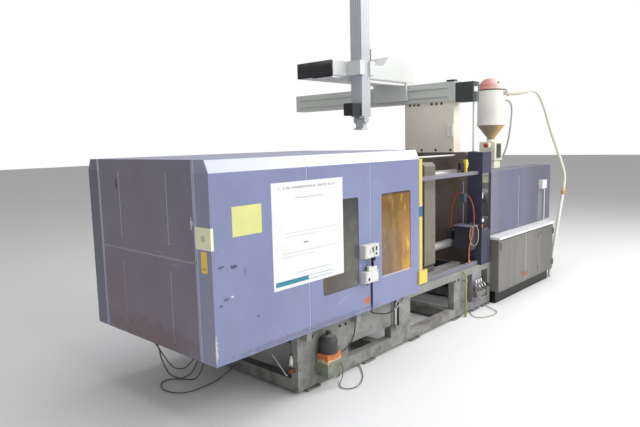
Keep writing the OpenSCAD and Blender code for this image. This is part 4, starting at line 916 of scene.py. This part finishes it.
def paperMaterial(name, colour, low, size, lines=(), rough=0.55, bar=None):
    # faint lines, in shares of the sheet: height, half thickness, start, end; then the colour and whether dashed
    mat, t, shader, place = startMaterial(name)
    split = t.axes(place)
    soft = 0.01
    across = t.math('DIVIDE', t.minus(split[0], low[0] / 1000), size[0] / 1000)
    up = t.math('DIVIDE', t.minus(split[2], low[1] / 1000 + floorZ), size[1] / 1000)
    cloud = t.step(t.noise(place, 5.0, 4.0, 0.6), 0.3, 0.7)
    shade = t.cover(linear(colour), [c * 0.965 for c in colour], cloud)
    dash = t.step(t.noise(t.vector('MULTIPLY', place, (55.0, 1.0, 3.0)), 1.0, 2.0, 0.6), 0.42, 0.46)
    for height, half, start, end, tone, dashed in lines:
        band = t.step(t.math('ABSOLUTE', t.minus(up, height)), half, half * 0.6)
        mask = t.times(band, t.between(across, start, end, soft))
        if dashed:
            mask = t.times(mask, dash)
        shade = t.cover(shade, tone, mask)
    if bar:
        # a bar filled to its middle and only outlined after it
        height, half, tone, start, middle, end = bar
        away = t.math('ABSOLUTE', t.minus(up, height))
        band = t.step(away, half, half * 0.85)
        full = t.times(band, t.between(across, start, middle + soft, soft))
        rim = t.times(t.times(band, t.step(away, half * 0.45, half * 0.6)), t.between(across, start, end, soft))
        shade = t.layers(shade, (tone, rim, 0.55), (tone, full))
    t.fill(shader, {"Base Color": shade, "Roughness": rough})
    return mat


def stuckPaper(name, paper, low, size, thick):
    # flat paper just off the face of the clamp cover, which lies at y = -860
    x, z = low
    face = -860.2
    slab(name, paper, (x, face - thick, z), (x + size[0], face, z + size[1]), 0)


posterPlace = (-3600, 995), (830, 835)
sheetPlace = (-3980, 1476), (279, 216)
posterPaper = paperMaterial("posterPaper", (246, 246, 246), *posterPlace,
    lines=[(0.945, 0.014, 0.05, 0.93, (186, 186, 192), True), (0.845, 0.007, 0.3, 0.7, (196, 196, 200), False),
    (0.52, 0.006, 0.14, 0.9, (216, 216, 220), False), (0.485, 0.006, 0.16, 0.62, (216, 216, 220), False),
    (0.41, 0.008, 0.4, 0.47, (120, 120, 126), False), (0.33, 0.006, 0.12, 0.9, (216, 216, 220), False),
    (0.295, 0.006, 0.12, 0.55, (216, 216, 220), False), (0.13, 0.005, 0.3, 0.8, (190, 196, 204), False)],
    bar=(0.055, 0.024, (58, 136, 158), 0.02, 0.46, 0.82))
stuckPaper("posterSheet", posterPaper, *posterPlace, 0.8)
stuckPaper("yellowSheet", paperMaterial("yellowPaper", (232, 230, 150), *sheetPlace, rough=0.6), *sheetPlace, 0.5)


def cornerLabel():
    # pale sheet folded round the corner of the end cover, with a plain round spot
    mat, t, shader, place = startMaterial("cornerLabel")
    spot = spotMask(t, place, (-4171, -770, 1484), (20, 28, 26), 0.2, 30.0)
    shade = t.cover(linear((248, 248, 214)), (128, 140, 128), spot, 0.45)
    t.fill(shader, {"Base Color": shade, "Roughness": 0.5})
    bm = bmesh.new()
    outline = [(-4170.3, -683), (-4170.3, -860.3), (-4148, -860.3), (-4148, -860.9), (-4170.9, -860.9),
        (-4170.9, -683)]
    prism(bm, *([(x, y, z) for x, y in outline] for z in (1404, 1562)))
    finishPiece(meshObject("cornerLabel", bm, mat))


def yellowTag():
    # small yellow sticker under it, with a pale spot and bars
    mat, t, shader, place = startMaterial("yellowSticker")
    shade = linear((252, 212, 84))
    for z, half, tone in ((1368, (20, 22, 20), (240, 226, 160)), (1312, (20, 24, 12), (236, 214, 130)),
            (1268, (20, 26, 10), (176, 142, 52))):
        shade = t.cover(shade, tone, spotMask(t, place, (-4170, -772, z), half, 0.15, 40.0), 0.6)
    t.fill(shader, {"Base Color": shade, "Roughness": 0.45})
    bm = bmesh.new()
    boxMesh(bm, (-4170.9, -808, 1238), (-4170.2, -738, 1392))
    corners = [e for e in bm.edges if abs(e.verts[0].co.x - e.verts[1].co.x) > 1e-5]
    bmesh.ops.bevel(bm, geom=corners, offset=0.008, segments=4, profile=0.5, affect='EDGES')
    finishPiece(meshObject("yellowSticker", bm, mat))


cornerLabel()
yellowTag()
print("papers made")


# Fittings on the operator side of the clamp

joinBoxes("switchLids", whitePlastic, [((-2536, -926, 1086), (-2420, -920, 1194)),
    ((-2408, -926, 1086), (-2340, -920, 1194)), ((-2476, -934, 1120), (-2452, -926, 1160)),
    ((-2526, -921, 856), (-2350, -915, 949)), ((-2470, -905, 950), (-2350, -880, 990)),
    ((-2470, -905, 990), (-2440, -866, 1000))])
joinBoxes("switchMarks", blackPlastic, [((-2448, -928, 1128), (-2426, -925.5, 1176)),
    ((-2394, -928, 1100), (-2372, -925.5, 1124)), ((-2394, -928, 1140), (-2372, -925.5, 1180)),
    ((-2420, -926, 1050), (-2396, -905, 1080)), ((-2500, -923, 870), (-2478, -920.5, 900))], bevel=0.001,
    rods=[((-2405, -890, 1000), (-2405, -890, 1080), 9), ((-2480, -890, 828), (-2480, -890, 850), 9)])
switchSpots = [((x, -926, z), front) for x in (-2526, -2350) for z in (1094, 1186)]
switchSpots += [((x, -921, z), front) for x in (-2516, -2360) for z in (864, 941)]
bolts("switchScrews", zincBolt, switchSpots, radius=0.005, height=0.002, sides=12, washer=1.1)

slab("gateTape", blueTape, (-1567, -863, 1352), (-1511, -860.3, 1452), bevel=0.0006, body="front_gate")

# bracket with pipes under the gate, and the drain pipe with its clamps
joinBoxes("bedBracket", greyPaint, [((-1900, -752, 250), (-1780, -740, 545)),
    ((-1900, -790, 533), (-1780, -752, 545)), ((-1905, -800, 250), (-1775, -740, 262))])
pipe("bracketPipeA", [(-1870, -770, 262), (-1870, -770, 400), (-1868, -772, 470), (-1850, -774, 520),
    (-1800, -770, 533)], 0.012, chrome)
pipe("bracketPipeB", [(-1820, -768, 262), (-1820, -768, 360), (-1822, -770, 440), (-1836, -772, 500),
    (-1880, -770, 533)], 0.010, blackRubber)
pipe("drainPipe", [(-430, -780, 6), (-430, -780, 200), (-431, -780, 400), (-430, -780, 490), (-430, -775, 525),
    (-430, -762, 540), (-430, -739, 544)], 0.013, drainTube)
joinBoxes("drainClamps", zincBolt, [((-448, -796, 180), (-412, -740, 192)), ((-448, -796, 440), (-412, -740, 452))],
    bevel=0.001)

# valves on the water manifold
for k, x in enumerate((-160, -95, -30)):
    turned("valveBody%d" % k, chrome, ((x, -770, 320), up),
        [(0, 17), (14, 17), (14, 12), (30, 12), (34, 19), (58, 19), (62, 11), (78, 11)])
    pipe("valveTail%d" % k, [(x, -770, 350), (x - 6, -800, 352), (x - 14, -826, 340), (x - 18, -838, 318)], 0.009,
        chrome)

# orange and pale water hoses looped over the manifold ledge
cordPiece("orangeHose", [(-178, -726, 1066), (-184, -738, 1040), (-190, -736, 980), (-192, -716, 900),
    (-194, -700, 830), (-194, -692, 760), (-192, -690, 700), (-190, -690, 640), (-188, -690, 614)], 0.0075,
    orangeRubber)
cordPiece("paleHose", [(-120, -714, 1066), (-128, -732, 1074), (-140, -756, 1072), (-154, -780, 1054),
    (-164, -796, 1018), (-170, -802, 964), (-173, -800, 908), (-175, -786, 858), (-177, -758, 830), (-179, -726, 836),
    (-181, -704, 872), (-182, -696, 930), (-181, -698, 990), (-179, -706, 1056)], 0.0045, paleRubber)
turned("hoseNipple", brass, ((-188, -690, 611), up), [(0, 13), (10, 13), (12, 9), (34, 9)])

# sensor box on the upper rail, pipe over the tie bars, ring bolt on the moving platen
joinBoxes("railSensor", blackPlastic, [((-430, -704, 1764), (-350, -666, 1846)),
    ((-352, -694, 1770), (-330, -676, 1792)), ((-352, -696, 1730.3), (-338, -674, 1772))])
pipe("topPipe", [(-2960, -380, 1925), (-1500, -380, 1925), (0, -380, 1925)], 0.011, whitePlastic)


eyeboltSet = {"centre": (-875, -300, 1912), "foot": (-875, -300, 1871), "ring": 0.034, "wire": 0.009}


def eyebolt(s):
    bm = bmesh.new()
    loops = []
    for a in circle(32):
        out = Vector((0, math.cos(a), math.sin(a)))
        loops.append(loopAt(bm, shop(*s["centre"]) + out * s["ring"], out, Vector((1, 0, 0)), s["wire"], 12))
    skin(bm, loops + loops[:1])
    rings(bm, (s["foot"], up), [(0, 20), (10, 20), (12, 11), (16, 11)])
    finishPiece(meshObject("platenEyebolt", bm, chrome), "clamp")


eyebolt(eyeboltSet)

# parts seen through the guard post window
joinBoxes("guardFittings", whitePlastic, [((60, -700, 1380), (150, -640, 1450)),
    ((40, -690, 1180), (110, -640, 1230)), ((120, -700, 1080), (180, -650, 1120))],
    rods=[((100, -670, 980.5), (100, -670, 1699.5), 11), ((170, -640, 980.5), (170, -640, 1699.5), 8)])
joinBoxes("guardHoses", orangeRubber, [((60, -712, 1010), (130, -660, 1050))],
    rods=[((60, -720, 980.5), (60, -720, 1699.5), 9)])
print("clamp fittings made")


# Bed end: bottle, rusty fitting, rod and lubrication unit; then the cables

turned("endBottle", whitePlastic, ((-3268, -680, 262), up), [(0, 15), (3, 17), (52, 17), (66, 9), (74, 8), (86, 8)])
turned("bottleCap", blackPlastic, ((-3268, -680, 348), up), [(0, 10), (14, 10)])
turned("rustyFitting", rustySteel, ((-3250, -686, 215), left),
    [(0, 26), (12, 26), (12, 18), (40, 16), (42, 21), (52, 21)], sides=18)
joinBoxes("endShelf", greyPaint, [((-3290, -705, 254), (-3250, -655, 262))])
pipe("endRod", [(-3262, -436, 300), (-3268, -520, 240), (-3274, -600, 180), (-3276, -630, 158)], 0.007, whitePlastic)
turned("lubeFiller", blackPlastic, ((-2950, -825, 484), up), [(0, 24), (6, 26), (22, 26), (26, 20)])
turned("lubeGauge", chrome, ((-2895, -868, 282), front), [(0, 20), (14, 20), (18, 16)])
joinBoxes("lubeBracket", greyPaint, [((-3030, -886, 116), (-2870, -740, 121)),
    ((-3020, -760, 121), (-3012, -740, 300)), ((-2888, -760, 121), (-2880, -740, 300))])
cordPiece("lubeCable", [(-2905, -800, 300), (-2880, -790, 296), (-2800, -775, 262), (-2700, -765, 240),
    (-2600, -760, 262), (-2530, -758, 330), (-2500, -756, 420), (-2500, -756, 500), (-2500, -754, 572)], 0.005,
    blackRubber)
cordPiece("seamCable", [(-2415, -906, 1052), (-2404, -902, 1010), (-2384, -880, 960), (-2380, -869, 900),
    (-2380, -867.5, 800), (-2380, -867.5, 700), (-2380, -866.5, 620), (-2366, -850, 560), (-2314, -816, 516),
    (-2203, -800, 478), (-2090, -796, 448), (-1990, -790, 436), (-1925, -786, 444)], 0.007, blackRubber)
cordPiece("bracketHose", [(-1925, -786, 444), (-1880, -796, 466), (-1838, -800, 487), (-1796, -796, 502),
    (-1758, -776, 516), (-1738, -754, 524), (-1733, -743, 526)], 0.009, greyPlastic)
cordPiece("endCableA", [(-4150, 0, 590), (-4128, 0, 560), (-4098, 0, 480), (-4080, 0, 392), (-4014, 0, 247),
    (-3901, 0, 175), (-3798, 0, 195), (-3719, 0, 290), (-3620, 0, 380), (-3480, 0, 448), (-3350, 0, 476),
    (-3262, 0, 482)], 0.006, greyCable)
cordPiece("endCableB", [(-4150, 70, 590), (-4120, 72, 560), (-4060, 74, 470), (-4010, 76, 380), (-3930, 76, 262),
    (-3830, 74, 220), (-3740, 72, 262), (-3640, 70, 350), (-3500, 70, 430), (-3360, 70, 466), (-3262, 70, 474)],
    0.005, greyCable)
cordPiece("endCableC", [(-3262, 130, 478), (-3340, 132, 468), (-3450, 136, 400), (-3540, 144, 250), (-3600, 160, 90),
    (-3640, 210, 20), (-3694, 320, 9), (-3760, 400, 9), (-3850, 400, 9), (-3920, 300, 9), (-3922, 170, 9),
    (-3860, 70, 9), (-3760, 30, 9), (-3640, 30, 9), (-3500, 40, 14), (-3380, 48, 50), (-3300, 52, 80),
    (-3262, 52, 84)], 0.005, greyCable)
cordPiece("floorCable", [(-2862, -806, 178), (-2842, -806, 174), (-2822, -804, 158), (-2808, -800, 134),
    (-2800, -796, 104), (-2792, -789, 70), (-2774, -776, 36), (-2742, -755, 15), (-2700, -730, 9), (-2620, -682, 9),
    (-2530, -624, 9), (-2440, -582, 9), (-2378, -604, 9), (-2388, -670, 9), (-2448, -766, 9), (-2570, -894, 9),
    (-2700, -980, 9), (-2804, -1012, 9), (-2884, -990, 9), (-2908, -934, 9), (-2878, -880, 9), (-2832, -850, 16),
    (-2788, -832, 40), (-2756, -816, 76), (-2738, -798, 106), (-2730, -776, 123), (-2728, -760, 128),
    (-2728, -746, 129)], 0.0042, greyCable)
cordPiece("floorWire", [(142, -753, 9), (128, -776, 9), (103, -806, 9), (58, -866, 9), (22, -932, 9), (-22, -980, 9),
    (-76, -1006, 9), (-140, -1012, 9), (-214, -1006, 9), (-310, -980, 9), (-364, -940, 9), (-384, -886, 9),
    (-350, -822, 9), (-280, -768, 9), (-200, -722, 9), (-184, -716, 9)], 0.004, wireSheath)
turned("cableGland", blackPlastic, ((-2728, -740.3, 129), front), [(0, 14), (8, 14), (10, 10), (22, 7)], sides=16)
print("bed fittings made")


# Hopper, loader and robot fittings

turned("loaderBand", blackPlastic, ((hopperX, 0, 2836), up),
    [(0, 205.4), (0, 209), (13, 209), (13, 205.4), (0, 205.4)], sides=48, body="carriage")


def roundHopper(radius, degrees, z):
    # a place at a distance from the hopper's axis, and the way out from it
    turn = math.radians(degrees)
    away = math.cos(turn), math.sin(turn)
    return (hopperX + radius * away[0], radius * away[1], z), away


knobPlace, knobAway = roundHopper(173, 240, 2941)
bolts("lidKnobs", blackPlastic, [(knobPlace, (*knobAway, 0.8))], radius=0.011, height=0.012, sides=16, washer=1.2,
    body="lid")
bolts("loaderRingBolts", zincBolt, [(roundHopper(209, degrees, 2341)[0], up) for degrees in range(15, 375, 30)],
    radius=0.006, height=0.006, body="carriage")
joinBoxes("loaderLatch", chrome, [((1755, -232, 2760), (1805, -206, 2800)), ((1765, -238, 2790), (1795, -226, 2846))],
    body="carriage")
joinBoxes("sightFrame", chrome, [((1700, -131, 1820), (1860, -125.2, 1836)),
    ((1700, -131, 2030), (1860, -125.2, 2046)), ((1700, -131, 1836), (1716, -125.2, 2030)),
    ((1844, -131, 1836), (1860, -125.2, 2030))], body="carriage")
slab("sightGlass", smokedPane, (1716, -127.5, 1836), (1844, -125.3, 2030), bevel=0.0005, body="carriage")
turned("spoutCap", chrome, ((1986, 0, 1970), (1, 0, 0)), [(0, 31), (22, 31), (26, 26)], body="carriage")
turned("redKnob", redRubber, ((1560, -40, 2020), left), [(0, 34), (30, 36), (40, 30), (44, 0)], body="carriage")
turned("inletCoupling", zincBolt, ((1904, -215, 2780), (0.5, -0.866, 0)),
    [(-16, 29), (-16, 35), (-2, 35), (-2, 29), (-16, 29)], body="carriage")
cordPiece("vacuumHose", [(1925, -148, 2690), (1946, -163, 2689), (1974, -183, 2678), (2000, -201, 2650),
    (2018, -212, 2606), (2026, -215, 2548), (2026, -213, 2470), (2022, -206, 2360), (2014, -196, 2240),
    (2006, -184, 2130), (1998, -168, 2040), (1986, -149, 1956), (1968, -128, 1880), (1944, -108, 1812),
    (1914, -90, 1754), (1886, -78, 1712)], 0.0125, greyPlastic, body="carriage")


sideArmSet = {"front": 290, "back": 850, "soft": 0.02, "flatArea": 0.2, "foot": (-1550, 2870),
    "roof": [(-1550, 3045), (-575, 3045), (-548, 3068), (-470, 3150), (-440, 3170), (-400, 3178)],
    "end": [(-70, 3178), (-30, 3168), (8, 3136), (44, 3086), (72, 3030), (94, 2960), (108, 2900), (113, 2870)]}


def sideArm(s):
    # white side-arm cover with soft edges; its right end rises into a rounded motor hood
    bm = bmesh.new()
    outline = [s["foot"]] + s["roof"] + s["end"]
    ends = prism(bm, *([(x, y, z) for x, z in outline] for y in (s["front"], s["back"])))
    rim = [e for f in ends for e in f.edges]
    bmesh.ops.bevel(bm, geom=rim, offset=s["soft"], segments=4, profile=0.5, affect='EDGES')
    for f in bm.faces:
        f.smooth = f.calc_area() < s["flatArea"]
    for low, high in (((-64.3, 300, 2840.3), (210.3, 840, 2872)), ((-64.3, 300, 2640), (-34.3, 840, 2841)),
            ((180.3, 300, 2640), (210.3, 840, 2841)), ((-1100, 320, 2835), (-64.3, 440, 2869.5)),
            ((-1540, 300, 2850), (-1400, 600, 2869.5))):
        boxMesh(bm, low, high)
    bmesh.ops.recalc_face_normals(bm, faces=bm.faces)
    finishPiece(meshObject("sideArmCover", bm, robotWhite), "traverse", ["robot_side_arm"])


sideArm(sideArmSet)
turned("armMotorCap", blackPlastic, ((-1030, 195, 3162), up), [(0, 40), (10, 46), (26, 46), (32, 38)], body="kick")
joinBoxes("beamTopBox", blackPlastic, [((-20, -380, 2840.3), (60, -270, 2862))])
joinBoxes("endBoxLabel", whitePlastic, [((20, -631.5, 2700), (110, -630.2, 2760))], bevel=0)
print("loader and robot fittings made")


# Floor, backdrop and light

def makeStage():
    bm = bmesh.new()
    bmesh.ops.create_grid(bm, x_segments=1, y_segments=1, size=60)
    mat, t, shader, place = startMaterial("paleFloor")
    t.fill(shader, {"Base Color": (0.9, 0.9, 0.9, 1), "Roughness": 0.7})
    floor = meshObject("paleFloor", bm, mat)
    floor.location = (0, 0, floorZ)
    world = bpy.data.worlds.new("softWhite")
    scene.world = world
    world.use_nodes = True
    t = Tree(world.node_tree)
    t.tree.nodes.clear()
    seen = t.add("ShaderNodeLightPath").outputs
    direct = t.math('MAXIMUM', seen["Is Camera Ray"], seen["Is Transmission Ray"])
    back = t.add("ShaderNodeBackground", {"Color": (1, 1, 1, 1), "Strength": t.step(direct, 0.0, 1.0, 0.4, 1.0)})
    t.add("ShaderNodeOutputWorld", {0: back.outputs[0]})
    for name, place, aim, size, power in [("frontSoftbox", (-0.5, -9.5, 5.0), (-0.5, 0, 0.2), (10, 5), 480),
            ("sideSoftbox", (5.5, -6.0, 5.6), (-1.6, -0.8, 0.4), (5, 3), 420),
            ("topSoftbox", (-1.0, -1.0, 7.5), (-1.0, 0, 0), (9, 6), 300)]:
        data = bpy.data.lights.new(name, 'AREA')
        data.shape = 'RECTANGLE'
        data.size, data.size_y = size
        data.energy = power
        lamp = linked(name, data)
        lamp.location = place
        lamp.rotation_euler = (Vector(aim) - Vector(place)).to_track_quat('-Z', 'Y').to_euler()
    scene.view_settings.view_transform = 'Standard'


makeStage()
